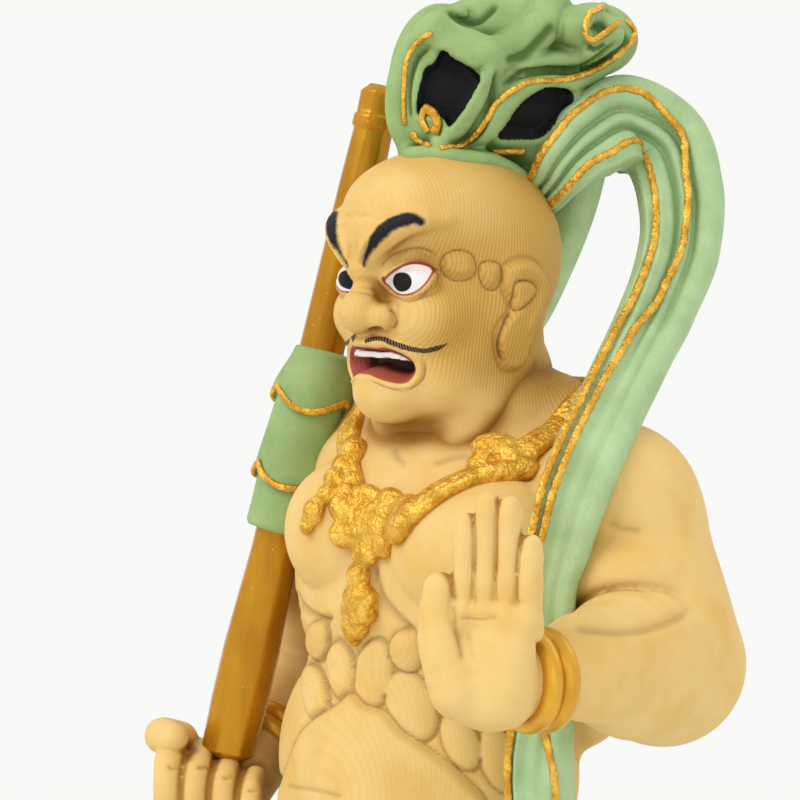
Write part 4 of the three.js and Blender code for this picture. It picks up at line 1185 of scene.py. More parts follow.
def sleeve_sheet(angles):
    """Rows of the sleeve from top to bottom, and the lower edge of each of its tiers"""
    fall = np.linspace(0, 1, SLEEVE_ROWS)
    points, _, values = route(SLEEVE, fall)
    across, lift, tangents = path_axes(points, (0.77, -0.64, 0), False)
    scallop = 0.08 - 0.24 * np.abs(np.cos(1.5 * (angles - 1.3)))
    ends = np.arange(len(SLEEVE_TIERS))
    level = ramp(0, 0.08, fall) * ramp(1, 0.9, fall)
    place = np.interp(fall, SLEEVE_TIERS, ends)[:, None] + scallop * level[:, None]
    tier = np.mod(np.clip(place, 0, ends[-1] - 0.01), 1)
    creases = 0.03 * np.cos(5 * angles + 1.5 * np.floor(place)) * tier
    flare = (0.17 - 0.05 * np.floor(place)) * tier ** 0.8
    radius = values[:, :1] * (0.9 + creases + flare * ramp(1.0, 0.94, tier))
    spokes = np.cos(angles)[None, :, None] * across[:, None] + np.sin(angles)[None, :, None] * lift[:, None]
    sheet = points[:, None] + spokes * radius[..., None]
    crown = points[0] - tangents[0] * 0.8 + 0 * sheet[:1]
    foot = points[-1] + tangents[-1] * 0.4 + 0 * sheet[:1]
    edges = []
    half = SLEEVE_ROWS // 2
    for k in ends[1:-1]:
        t = np.interp(k - 0.03 - scallop[:-1], ends, SLEEVE_TIERS)
        middle, _, reach = route(SLEEVE, t)
        spoke = np.cos(angles[:-1, None]) * across[half] + np.sin(angles[:-1, None]) * lift[half]
        edges.append((middle + spoke * reach[:, :1] * 1.045, spoke))
    return np.concatenate([crown, sheet, foot]), edges


CLUB_FOOT = (-33.2, -9.6, 178.5)
CLUB_HEAD = (-18.8, 8, 273.2)
# Radius of the shaft by its distance from the foot, and of the ringed cap by its distance from the head
CLUB_SHAFT = [(0, 2.6), (1.2, 4), (8, 4.2), (16, 4.2), (30, 3.5), (52, 3.4), (84, 3.1)]
CLUB_CAP = [(6.4, 2.9), (6, 3.3), (4.6, 3.3), (4.2, 3), (1.2, 3.1), (0, 2)]

PLINTH_MIDDLE = (1, -3)
PLINTH_REACH = (52, 38)
PLINTH_HEIGHT = 28
# Reach of the rock by level, as parts of the whole, and how square its outline is
PLINTH_LEVELS = [(0, 1), (0.1, 1.02), (0.34, 0.985), (0.4, 0.93), (0.62, 0.9), (0.7, 0.83), (0.92, 0.8),
                 (1, 0.76)]
PLINTH_POWER = 3.2


def plinth_row(angles, v):
    """One level of the rock: the underside up to 0.25, the sides, and the top from 0.98"""
    level = np.clip((v - 0.25) / 0.73, 0, 1)
    reach = np.interp(level, *zip(*PLINTH_LEVELS))
    if v < 0.25:
        reach = v / 0.25
    if v > 0.98:
        reach = 0.76 * (1 - v) / 0.02
    rough = (0.03 * np.cos(7 * angles + 3 * level) + 0.025 * np.cos(11 * angles - 5 * level)
             + 0.02 * np.cos(4 * angles + 1.3))
    if 0.25 < v < 0.98:
        rough = rough + 0.01 * np.cos(23 * angles + 9 * level) + 0.006 * np.cos(41 * angles - 17 * level)
    ring = np.column_stack([np.cos(angles), np.sin(angles)])
    outline = (np.abs(ring) ** PLINTH_POWER).sum(axis=1) ** (-1 / PLINTH_POWER)
    reach = outline * reach * (1 + rough)
    flat = PLINTH_MIDDLE + ring * PLINTH_REACH * reach[:, None]
    return np.column_stack([flat, angles * 0 + PLINTH_HEIGHT * level])


# Features of the near half of the face, in pixels of the photograph; the far half mirrors them
EYE = [(385, 281), (391, 274), (398, 269.5), (406, 266), (414, 264.5), (423, 265.5), (432, 269.5), (429, 277),
       (423.5, 284.5), (416, 290.5), (408, 293.5), (400, 293.5), (393.5, 290), (389, 285)]
UPPER_LID = [(388, 276), (395, 270.5), (403, 266.5), (412, 264), (423, 264.5), (432, 269)]
EYE_CORNER = [(384, 277), (386.5, 283)]
IRIS_MIDDLE = (401.6, 282)
IRIS_RADII = (9.4, 10.4)
LID_CREASE = [(378, 272), (383, 265), (391, 257), (401, 251.5), (411, 249), (421, 249), (430, 252),
              (438, 259)]
CORNER_CREASE = [(432, 269.5), (440, 270.5)]
LOWER_FOLD = [(387, 291), (392, 295), (400, 299), (408, 301), (418, 298.5), (427, 292), (433, 284),
              (437, 275)]
NEAR_BROW = [(363, 265), (366.5, 254), (372.5, 243), (381, 232), (392, 223), (403, 219), (413, 218.5),
             (421, 222)]
FAR_BROW = [(346.5, 265), (340.5, 256), (334.5, 244), (331, 232), (330.5, 221), (332.5, 211)]
FROWN = [(367, 240), (363.5, 249), (360.5, 257), (360, 264), (363, 267)]
NOSE_HOLLOW = [(375, 280), (380, 287), (385, 296), (389, 304)]
MOUSTACHE = [(368, 340.5), (375, 338.8), (383, 339), (391, 342), (401, 345), (412, 348.5), (424, 350.5),
             (433, 349), (441, 346.5), (449, 342)]
# Upper and lower edges of the mouth and teeth, from the middle of the face out and back to the middle
MOUTH = [(369, 347.5), (377, 348.5), (385, 348), (395, 351), (405, 355.5), (413, 362), (415.6, 369.5),
         (413, 376), (407, 381.5), (400, 383), (390, 381.5), (380, 378.5), (370, 374)]
TEETH = [(369, 351), (377, 352), (386, 351.5), (396, 354.5), (406, 359.5), (407.5, 362), (396, 360),
         (386, 358.5), (376, 358.5), (369, 358)]
MUZZLE_CREASE = [(420, 355), (425, 366), (423, 378), (415, 386), (406, 390), (395, 389.5), (384, 386.5),
                 (374, 382), (366, 381)]
WING_CREASE = [(390, 307), (394, 313), (395.5, 320), (395, 326), (391, 331)]
NOSTRIL = [(368, 330), (373, 327), (380, 327), (384, 330), (378, 332), (371, 332)]
EAR = [(504, 278), (505, 269), (512, 263), (523, 260), (533, 262), (539, 270), (544, 285), (543, 297),
       (538, 310), (533, 330), (528, 348), (523, 362), (516, 369), (506, 369), (500, 360), (497.5, 348),
       (498, 333), (503, 322), (511, 311), (510, 300), (505, 289)]
EAR_BOWL = [(512, 283), (520, 280.5), (528, 283), (531.5, 290), (528, 298), (521, 306), (512.5, 310),
            (511, 298)]
EAR_FOLD = [(508, 276), (516, 270), (527, 271), (535, 280), (537, 292), (533, 304), (528, 318), (522, 336)]
EAR_FRONT = [(512.5, 310), (505, 320), (500, 331), (497.5, 342), (498.5, 352), (502, 364)]
TEMPLE_BUMPS = [
    [(440, 265), (443, 257), (452, 251.5), (463, 251), (472, 255), (476, 264), (475.5, 273), (469, 279),
     (459, 281), (449, 278), (442, 272)],
    [(478.5, 269), (482, 263), (491, 261.5), (499, 264), (502.5, 271), (501.5, 281), (493.5, 290.5),
     (484, 287)],
]
FOREHEAD_FOLD = [(350, 211), (356, 216), (364, 217.5), (373, 214)]
# Cut lines of the face: line, width and depth in millimetres, and strength of the painted shade in the line
FACE_GROOVES = [
    (LID_CREASE, 0.22, 0.3, 0.75), (CORNER_CREASE, 0.16, 0.2, 0.7), (LOWER_FOLD, 0.2, 0.24, 0.65),
    (FROWN, 0.32, 0.6, 0.8), (FOREHEAD_FOLD, 0.35, 0.2, 0.1), (MUZZLE_CREASE, 0.24, 0.36, 0.7),
    (WING_CREASE, 0.26, 0.42, 0.75), (EAR_FRONT, 0.26, 0.45, 1),
]
# Height of the tongue's edge, width of a tooth, and the middle of the throat in the head's frame
TONGUE_TOP = 235.4
TOOTH_WIDTH = 1.25
THROAT = (0, -2, -9)
# The ways the ear and the mouth face
EAR_FACING = (1, 0.1, 0.05)
MOUTH_FACING = (0.1, -1, 0)
# Distances from painted outlines are cut off here, in millimetres
PAINT_LIMIT = 5
# Outlines that meet the middle of the face are carried this far past it, and all are felt this far behind
PAST_MIDDLE = 3
OUTLINE_REACH = 2.5


class FaceMap:
    """Distances from lines and outlines of the photograph, drawn on the face and mirrored on its far half"""

    def __init__(self, skin, points):
        self.skin = skin
        self.local = to_head(points)
        self.places = np.column_stack([np.abs(self.local[:, 0]), self.local[:, 1:]])

    def traced(self, line, closed=False, mirrored=True):
        """Places in the head's frame that show at a line of pixels"""
        found = self.skin.seen(smooth_line(line, closed))
        found = to_head(found[np.abs(self.skin.distance(found)) < RAY_HIT])
        if mirrored:
            found[:, 0] = np.abs(found[:, 0])
        return found

    def stroke(self, line, width, taper=0.15):
        return stroke(self.places, self.traced(line), width, taper)

    def inside(self, line, facing=None, across_middle=False):
        """Distance outside an outline, measured on a plane that faces the way its places face"""
        edge = self.traced(line, not across_middle)
        if across_middle:
            edge = np.concatenate([edge, [(-PAST_MIDDLE, *edge[-1, 1:]), (-PAST_MIDDLE, *edge[0, 1:])]])
        if facing is None:
            facing = (self.skin.normals(from_head(edge)) @ HEAD_AXES).mean(axis=0)
        facing = unit(np.asarray(facing, float))
        side = unit(np.cross((0, 0, 1), facing))
        plane = np.column_stack([side, np.cross(facing, side)])
        distance = outline_distance(self.places @ plane, edge @ plane)
        ahead = self.places @ facing > (edge @ facing).min() - OUTLINE_REACH
        beside = self.places[:, 0] > edge[:, 0].min() - OUTLINE_REACH
        return np.where(ahead & beside, distance, FAR)


def face_detail(skin, points, normals):
    """Moves and paint of the face: lids, brows, lips, teeth, nostrils and the ears' folds"""
    face = FaceMap(skin, points)
    lift = np.zeros(len(points))
    crease = np.zeros(len(points))
    shade = np.zeros(len(points))
    # Each cut line is sunk, and painted shade is laid along it
    for line, width, depth, shade_strength in FACE_GROOVES:
        lift -= depth * face.stroke(line, width)
        crease = np.maximum(crease, shade_strength * face.stroke(line, width * 0.6))
    eye = face.inside(EYE)
    lift += 0.36 * bell(eye, 0.42, 0.32) * (eye > 0)
    lift += np.where(eye <= 0, 0.1 - 0.3 * ramp(0, -0.2, eye), 0)
    angles = full_turn(14, closing=False)
    iris_line = IRIS_MIDDLE + np.column_stack([np.cos(angles), np.sin(angles)]) * IRIS_RADII
    iris = np.maximum(face.inside(iris_line), eye + 0.02)
    lid = line_distance(face.places, face.traced(UPPER_LID))[0] - 0.2
    corner = line_distance(face.places, face.traced(EYE_CORNER))[0] - 0.26
    rim = np.minimum(np.minimum(np.abs(eye - 0.05) - 0.1, lid), corner)
    hollow = face.stroke(NOSE_HOLLOW, 1.1, 0.25)
    lift -= 0.2 * hollow
    shade = np.maximum(shade, 0.4 * hollow)
    near_brow = line_distance(face.places, face.traced(NEAR_BROW))
    far_brow = line_distance(face.local, face.traced(FAR_BROW, mirrored=False))
    brow_distance, brow_along = np.where(face.local[:, 0] < 0, far_brow, near_brow)
    brow = brow_distance - 0.38 - 0.68 * ramp(0, 0.55, brow_along) + 0.5 * ramp(0.82, 1, brow_along)
    hair_distance, hair_along = line_distance(face.places, face.traced(MOUSTACHE))
    moustache = hair_distance - 0.3 - 0.12 * hair_along + 0.36 * ramp(0.84, 1, hair_along)
    lift += 0.12 * ramp(0.1, -0.2, moustache)
    mouth = face.inside(MOUTH, MOUTH_FACING, across_middle=True)
    teeth = face.inside(TEETH, MOUTH_FACING, across_middle=True)
    lift += 0.42 * bell(mouth, 0.65, 0.5) * (mouth > 0)
    nostril = face.inside(NOSTRIL)
    lift -= 0.7 * ramp(0.1, -0.35, nostril)
    # The lines round the temple bumps, the ear and its bowl are darkened as painted shade
    for bump in TEMPLE_BUMPS:
        inside = face.inside(bump)
        lift += 0.75 * ramp(0.02, -1.3, inside) - 0.24 * bell(inside, 0, 0.16)
        crease = np.maximum(crease, 0.85 * bell(inside, 0, 0.1))
    ear = face.inside(EAR, EAR_FACING)
    lift += 1.15 * ramp(0.3, -0.7, ear) - 0.3 * bell(ear, 0.35, 0.25)
    crease = np.maximum(crease, 0.3 * bell(ear, 0.15, 0.14))
    bowl = face.inside(EAR_BOWL, EAR_FACING)
    lift += 0.25 * ramp(0, -0.9, bowl) - 0.5 * bell(bowl, 0, 0.2)
    crease = np.maximum(crease, 0.9 * bell(bowl, 0, 0.11))
    lift += 0.35 * face.stroke(EAR_FOLD, 0.55)
    moved = points + normals * lift[:, None]
    inward = unit(from_head(THROAT) - points)
    gaps = np.cos(face.places[:, 0] * 2 * math.pi / TOOTH_WIDTH)
    tooth_front = 0.5 - 0.14 * ramp(0.3, 1, gaps)
    hollow = ramp(0.05, -0.35, mouth) * (1 - ramp(0.08, -0.05, teeth))
    depth = 3.6 * hollow * ramp(0, -1.1, mouth) ** 0.5 + tooth_front * ramp(0.08, -0.1, teeth)
    moved = moved + inward * depth[:, None]
    paint = {"eye": eye, "iris": iris, "rim": rim, "brow": brow, "moustache": moustache,
             "mouth": mouth, "teeth": teeth, "nostril": nostril}
    paint = {key: np.clip(value, -PAINT_LIMIT, PAINT_LIMIT) for key, value in paint.items()}
    return moved, shade, crease, paint


# Grooves of the body, in pixels of the photograph: line, width and depth in millimetres
BODY_GROOVES = [
    ([(606, 522), (620, 527), (646, 532)], 0.6, 0.45),
    ([(562, 624), (600, 630), (640, 630), (680, 616), (698, 600)], 0.8, 0.5),
    ([(288, 784), (300, 786), (326, 791), (352, 798)], 0.4, 0.25),
    ([(356, 644), (357, 670), (354, 690)], 0.35, 0.4),
    ([(370, 556), (374, 580), (380, 598), (392, 613), (404, 625), (418, 637)], 0.6, 1.1),
    ([(292, 590), (300, 606), (312, 616), (324, 620), (334, 614)], 0.55, 0.9),
    ([(428, 466), (452, 458), (476, 455)], 0.6, 0.35),
    ([(392, 446), (397, 458), (406, 466)], 0.7, 0.5),
]
# Rounded pads of ribs and belly: middle, half width, half height and lean
PADS = [
    ((319, 640), 11, 21, 0), ((342, 671), 14, 31, -6), ((316, 694), 13, 31, -8), ((374, 674), 20, 36, 8),
    ((407, 651), 17, 22, -15), ((412, 706), 25, 38, -24), ((447, 690), 19, 30, -20),
    ((461, 741), 19, 32, -24), ((482, 700), 17, 30, -20), ((500, 760), 20, 36, -20),
]
BELLY = [(303, 727), (335, 704), (352, 692), (366, 704), (386, 711), (403, 730), (429, 747), (463, 774),
         (490, 805), (500, 860), (480, 930), (270, 930), (262, 860), (274, 798), (281, 778), (290, 752)]
PALM_GROOVES = [
    ([(456, 617), (475, 619), (500, 617)], 0.35, 0.25),
    ([(452, 600), (455, 622), (464, 664)], 0.35, 0.3),
]
FIST_GROOVES = [
    ([(197, 766), (203, 768), (209, 766)], 0.3, 0.5), ([(222, 776), (228, 778), (234, 776)], 0.3, 0.5),
    ([(246, 789), (252, 791), (258, 789)], 0.3, 0.5), ([(168, 766), (174, 769), (180, 766)], 0.3, 0.4),
]


def pad_lift(drawn):
    """Raised rounded pads with a crisp line round each, and the painted shade in that line"""
    lift = np.zeros(len(drawn))
    line = np.zeros(len(drawn))
    for middle, wide, high, lean in PADS:
        c, s = math.cos(math.radians(lean)), math.sin(math.radians(lean))
        offset = drawn * PIXELS_PER_MM - middle
        across = (offset[:, 0] * c + offset[:, 1] * s) / wide
        down = (offset[:, 1] * c - offset[:, 0] * s) / high
        reach = np.sqrt(across ** 2 + down ** 2)
        size = min(wide, high) / PIXELS_PER_MM
        lift = np.maximum(lift, 1.15 * np.sqrt(np.clip(1 - reach ** 2, 0, 1)))
        line = np.maximum(line, bell((reach - 1) * size, 0, 0.25))
    return lift - 0.3 * line * (lift < 0.5), line * (lift < 0.6)


def body_detail(points, normals):
    """Moves of the trunk and hands for grooves, pads and belly, and the painted shade in their lines"""
    drawn = to_photo(points) / PIXELS_PER_MM
    facing = (normals @ VIEW_AHEAD) < 0.1
    crease = np.zeros(len(points))
    lift = np.zeros(len(points))
    x, y, z = points.T
    hand = (y < -32) & (x > 24)
    club_hand = (x < -22) & (z < 186)
    body = ~hand & ~club_hand & (z < 228)
    for chosen, grooves in ((body, BODY_GROOVES), (hand, PALM_GROOVES), (club_hand, FIST_GROOVES)):
        chosen = chosen & facing
        for line, width, depth in grooves:
            strength = stroke(drawn[chosen], drawn_line(line), width)
            lift[chosen] -= depth * strength
            # Painted shade along each groove
            crease[chosen] = np.maximum(crease[chosen], 0.5 * strength)
    trunk = facing & (np.abs(x) < 25) & (z > 150) & (z < 207)
    raised, line = pad_lift(drawn[trunk])
    belly = outline_distance(drawn[trunk], drawn_line(BELLY, True))
    outside = ramp(-0.1, 0.25, belly)
    lift[trunk] += raised * outside + ramp(0.1, -1.4, belly) - 0.4 * bell(belly, 0, 0.3)
    # Painted shade in the lines round the pads and the belly
    crease[trunk] = np.maximum(crease[trunk], 0.6 * line * outside)
    crease[trunk] = np.maximum(crease[trunk], 0.6 * bell(belly, 0, 0.22))
    return points + normals * lift[:, None], crease


def tooling_of(points):
    """Where the passes of the cutting tool show most"""
    x, y, z = points.T
    _, ahead, up = to_head(points).T
    on_head = ramp(228, 234, z + 0.4 * y)
    forehead = 1 - 0.6 * ramp(4, 10, up) * ramp(6, -8, ahead)
    head = on_head * np.maximum(ramp(-15, -9, ahead), 0.2) * forehead
    belly = (1 - on_head) * ramp(205, 196, z) * ramp(24, 18, np.abs(x)) * 0.13
    return np.clip(head + belly + 0.04, 0, 1)


def add_neck(carving):
    """The neck, and the muscle from behind each ear to the collar bones"""
    carving.limb([(0, 5, 222, 15, 12.5), (1, 3.6, 230, 11.6, 10.8), (1, 2, 240, 9.6, 9.8)], blend=2.5)
    for s in (-1, 1):
        carving.limb([(s * 8.6 + 1.4, 0.4, 237, 2.3), (s * 7.6 + 1, -4.2, 231, 2.9), (s * 4, -5, 221, 3)],
                     blend=2.5)


def head_carving():
    carving = Carving()
    add_head(carving)
    add_neck(carving)
    return carving


def body_carving():
    carving = Carving()
    add_torso(carving)
    add_left_arm(carving)
    add_right_arm(carving)
    return carving


def both_carvings():
    return Carving(body_carving().forms + head_carving().forms)


def front_of_head(points):
    _, y, z = to_head(points).T
    return (z > -19) & (y < 9)


def on_hand(points):
    x, y, z = points.T
    return (y < -31) & (x > 24) | (x < -23) & (z < 184) & (y < -3)


def on_front(points):
    """The hands, and the part of the trunk with ribs and belly"""
    x, y, z = points.T
    return (y < -4) & (z > 160) & (z < 207) & (np.abs(x) < 24) | on_hand(points)


def on_face(points):
    x, y, z = to_head(points).T
    eyes = (y < -7) & (z > -13) & (z < 10) & (np.abs(x) < 10.5)
    ears = (x > 10) & (y > -9.5) & (y < 6) & (z > -11) & (z < 5)
    return eyes | ears


class HeadOperator(bpy.types.Operator):
    """Carved head and neck, with the painted face"""

    bl_idname = "guardian.make_head"
    bl_label = "Head"

    def execute(self, context):
        carving = head_carving()
        mesh, points, normals, shade = carved_surface(
            carving, sizes().skin_voxel / MM, (front_of_head, on_face), both_carvings())
        points, face_shade, crease, paint = face_detail(carving, points, normals)
        set_points(mesh, points)
        paint.update(shade=np.maximum(shade, face_shade), crease=crease, tooling=tooling_of(points))
        make_piece("head", mesh, skin_finish("painted_head", True), "figure", attributes=paint)
        return {"FINISHED"}


class BodyOperator(bpy.types.Operator):
    """Carved chest, ribs, belly, arms and hands"""

    bl_idname = "guardian.make_body"
    bl_label = "Torso and arms"

    def execute(self, context):
        mesh, points, normals, shade = carved_surface(
            body_carving(), sizes().skin_voxel / MM, (on_front,), both_carvings())
        points, crease = body_detail(points, normals)
        set_points(mesh, points)
        paint = {"shade": shade, "crease": crease, "tooling": tooling_of(points)}
        make_piece("body", mesh, skin_finish("painted_skin"), "figure", attributes=paint)
        return {"FINISHED"}


class LegsOperator(bpy.types.Operator):
    """Bare legs and feet standing on the plinth"""

    bl_idname = "guardian.make_legs"
    bl_label = "Legs and feet"

    def execute(self, context):
        carving = Carving()
        for leg in LEGS:
            add_leg(carving, *leg)
        mesh, points, _, shade = carved_surface(carving, LEG_VOXEL)
        points[:, 2] = np.maximum(points[:, 2], SOLE_HEIGHT)
        set_points(mesh, points)
        paint = {"shade": shade, "crease": shade * 0, "tooling": shade * 0 + 0.2}
        make_piece("legs", mesh, skin_finish("painted_legs"), "figure", attributes=paint)
        return {"FINISHED"}


class SkirtOperator(bpy.types.Operator):
    """Folded skirt with a gilded hem, and the sash tied at the waist"""

    bl_idname = "guardian.make_skirt"
    bl_label = "Skirt and sash"

    def execute(self, context):
        chosen = colours()
        bm = bmesh.new()
        angles = full_turn(288)
        rows = np.concatenate([np.linspace(0, 0.1, 4), np.linspace(0.1, 0.75, 60)[1:],
                               np.linspace(0.75, 1, 14)[1:]])
        lay(bm, np.array([skirt_row(angles, v) for v in rows]))
        # The skirt is given the darker copy of the jade
        bmesh_piece("skirt", bm, cloth_finish("skirt_cloth", chosen.cloth, chosen.jade_shade_and_mottle), "figure")
        bm = bmesh.new()
        edge = skirt_row(angles[:-1], HEM_LEVEL)
        outward = unit(edge - (3, -1, 0) - (0, 0, 1) * edge[:, 2:])
        tube(bm, edge + outward * 0.1, 1.2, 0.5, outward, closed=True)
        bmesh_piece("skirt_hem", bm, gilt_finish("skirt_gilt"), "figure")
        bm = bmesh.new()
        band = smooth_line(BAND_PROFILE, True, 40)
        angles = full_turn(96, closing=False)
        outward = np.column_stack([np.cos(angles), np.sin(angles), angles * 0])
        wave = np.cos(3 * angles)[:, None] * (0, 0, 1)
        tube(bm, SASH_MIDDLE + outward * SASH_REACH + wave, 3.4, 2, outward, closed=True, section=band)
        ball(bm, (-3.6, -18, 167), np.diag((4.6, 3.2, 3.8)), 32, 20)
        for tail in SASH_TAILS:
            points, _, values = route(tail, np.linspace(0, 1, 60))
            tube(bm, points, values[:, 0], values[:, 1], (0, -1, 0), section=band)
        bmesh_piece("sash", bm, cloth_finish("sash_cloth", chosen.jade, chosen.jade_shade_and_mottle), "figure")
        return {"FINISHED"}


class JewelleryOperator(bpy.types.Operator):
    """Gilded cords with a plaque and pendants, and a two-ridged bracelet on each wrist"""

    bl_idname = "guardian.make_jewellery"
    bl_label = "Necklace and bracelets"

    def execute(self, context):
        skin = both_carvings()
        points, _, _ = route(NECKLACE_CORD, np.linspace(0, 1, 241)[:-1], closed=True)
        points = skin.settle(points, 5)
        outward = skin.normals(points)
        along = unit(np.roll(points, -1, axis=0) - np.roll(points, 1, axis=0))
        side = np.cross(along, outward)
        total = bmesh.new()
        for offset in CORD_OFFSETS:
            cord = skin.settle(points + side * offset, 2) + outward * (0.75 - 0.1 * abs(offset))
            bm = bmesh.new()
            tube(bm, cord, 0.72, 0.9, outward, closed=True)
            add_all(total, bm)
        spots = skin.seen([lump[0] for lump in NECKLACE_LUMPS])
        for spot, out, (_, wide, high, deep) in zip(spots, skin.normals(spots), NECKLACE_LUMPS):
            side = unit(np.cross((0, 0, 1), out))
            axes = np.column_stack([side * wide, np.cross(out, side) * high, out * deep]) * LUMP_SWELL
            bm = bmesh.new()
            ball(bm, spot + out * 0.5, axes, 24, 14)
            add_all(total, bm)
        mesh = voxel_mesh(total, NECKLACE_VOXEL)
        set_points(mesh, smoothed(mesh_points(mesh), mesh_edges(mesh)))
        make_piece("necklace", mesh, gilt_finish("granular_gilt"), "figure")
        bm = bmesh.new()
        angles = full_turn(96, closing=False)[:, None]
        for start, end, radius in BRACELETS:
            span = np.subtract(end, start)
            axis = unit(span)
            first = unit(np.cross(axis, (0.3, 0.2, 1)))
            outward = np.cos(angles) * first + np.sin(angles) * np.cross(axis, first)
            for place in (0.2, 0.8):
                ring = start + span * place + outward * radius
                tube(bm, ring, 1.25, 1.1, outward, closed=True, sides=20)
        bmesh_piece("bracelets", bm, satin_gilt_finish(), "figure")
        return {"FINISHED"}


class TopknotOperator(bpy.types.Operator):
    """Black topknot wrapped in green cloth with gilded edges"""

    bl_idname = "guardian.make_topknot"
    bl_label = "Topknot"

    def execute(self, context):
        cloth = topknot_carving()
        mesh, points, normals, shade = carved_surface(cloth, TOPKNOT_VOXEL)
        lift, fold_shade, window = topknot_detail(points, normals)
        set_points(mesh, points + normals * lift[:, None])
        # The topknot's cloth is the pale jade painted darker, as painted shade
        finish = cloth_finish("topknot_cloth", colours().cloth, colours().cloth_shade_and_mottle, windows=True)
        make_piece("topknot", mesh, finish, "figure",
                   attributes={"shade": np.maximum(shade, fold_shade), "window": window})
        bm = bmesh.new()
        for line, radius in TOPKNOT_TRIM:
            points = cloth.seen(smooth_line(line))
            points = points[cloth.distance(points) < 0.6]
            if len(points) > 4:
                outward = cloth.normals(points)
                tube(bm, points + outward * 0.12, radius, radius * 0.8, outward)
        bmesh_piece("topknot_trim", bm, gilt_finish("topknot_gilt"), "figure")
        return {"FINISHED"}


class ScarfOperator(bpy.types.Operator):
    """Long fluted scarf round the head and shoulders, and the tiered sleeve on the club arm"""

    bl_idname = "guardian.make_scarf"
    bl_label = "Scarf and sleeve"

    def execute(self, context):
        chosen = colours()
        cloth = bmesh.new()
        trim = bmesh.new()
        fluted = smooth_line(FLUTES, True, 96)
        calm = smooth_line(CALM, True, 96)
        # Each strand with the number of its rows, and whether it has gilded hems
        runs = ((arc_stations(), 300, True), (BACK_STRAND, 90, False), (hemmed(RIGHT_TAIL), 140, True))
        for stations, count, gilded in runs:
            points, _, values = route(stations, np.linspace(0, 1, count))
            ease = ramp(CALM_TO, CALM_FROM, points[:, 2])[:, None, None]
            section = calm + (fluted - calm) * ease
            tube(cloth, points, values[:, 0], values[:, 1], values[:, 2:5], section=section)
            if not gilded:
                continue
            across, lift, _ = path_axes(points, values[:, 2:5], False)
            for edge in (values[:, 5:6], values[:, 6:7]):
                line = points + across * (values[:, :1] * edge) + lift * (values[:, 1:2] * 0.97)
                radius = HEM_RADIUS + 0.07 * np.sin(np.arange(count) * 1.9)
                tube(trim, line[3:-3], radius[3:-3], HEM_DEPTH, lift[3:-3])
        bmesh_piece("scarf_cloth", cloth, cloth_finish("scarf_cloth", chosen.jade, chosen.jade_shade_and_mottle), "scarf")
        bmesh_piece("scarf_trim", trim, gilt_finish("scarf_gilt"), "scarf")
        bm = bmesh.new()
        sheet, edges = sleeve_sheet(full_turn(96))
        lay(bm, sheet)
        # The sleeve is the pale jade painted darker, as painted shade
        bmesh_piece("sleeve", bm, cloth_finish("sleeve_cloth", chosen.cloth, chosen.cloth_shade_and_mottle), "scarf")
        bm = bmesh.new()
        for edge, outward in edges:
            tube(bm, edge, HEM_RADIUS, 0.35, outward, closed=True)
        bmesh_piece("sleeve_trim", bm, gilt_finish("sleeve_gilt"), "scarf")
        return {"FINISHED"}


class ClubOperator(bpy.types.Operator):
    """Eight-sided gilded club with a ringed cap"""

    bl_idname = "guardian.make_club"
    bl_label = "Club"

    def execute(self, context):
        span = np.subtract(CLUB_HEAD, CLUB_FOOT)
        length = np.linalg.norm(span)
        ahead = span / length
        side = unit(np.cross(ahead, (0, 1, 0)))
        lift = np.cross(ahead, side)
        profile = np.array(CLUB_SHAFT + [(length - down, radius) for down, radius in CLUB_CAP])
        along = np.unique(np.concatenate([np.linspace(0, length, 160), profile[:, 0]]))
        radii = np.interp(along, profile[:, 0], profile[:, 1])
        angles = full_turn(64)
        eighth = np.mod(angles + math.pi / 8, math.pi / 4) - math.pi / 8
        facets = 0.35 + 0.65 * math.cos(math.pi / 8) / np.cos(eighth)
        along = np.concatenate([[0], along, [length]])
        radii = np.concatenate([[0], radii, [0]])
        reach = radii[:, None] * facets
        sheet = (CLUB_FOOT + along[:, None, None] * ahead + (reach * np.cos(angles))[..., None] * side
                 + (reach * np.sin(angles))[..., None] * lift)
        bm = bmesh.new()
        lay(bm, sheet)
        bmesh_piece("club_shaft", bm, club_finish(), "club", slot="club")
        return {"FINISHED"}


class PlinthOperator(bpy.types.Operator):
    """Low rock with ledges, flat above and below"""

    bl_idname = "guardian.make_plinth"
    bl_label = "Plinth"

    def execute(self, context):
        rows = np.concatenate([[0, 0.12, 0.24], np.linspace(0.25, 0.98, 90), [0.985, 0.99, 1]])
        bm = bmesh.new()
        angles = full_turn(320)
        lay(bm, np.array([plinth_row(angles, v) for v in rows]))
        bmesh_piece("plinth_rock", bm, rock_finish(), "plinth", slot="plinth")
        return {"FINISHED"}


# Stage, in metres: the floor and where it fades out, the room, and the place and size of each lamp
FLOOR_RADIUS = 1.6
FLOOR_FADE = (0.25, 0.75)
FLOOR_COLOUR = (0.86, 0.865, 0.85, 1)
ROOM_COLOUR = (0.945, 0.95, 0.93, 1)
LAMPS = {
    "key": ((-0.25, -0.75, 0.95), 0.55),
    "fill": ((0.8, -0.5, 0.55), 0.6),
    "back": ((0.3, 0.8, 0.9), 0.6),
}
LAMP_AIM = np.array((0, 0, 0.21))
SENSOR = 36


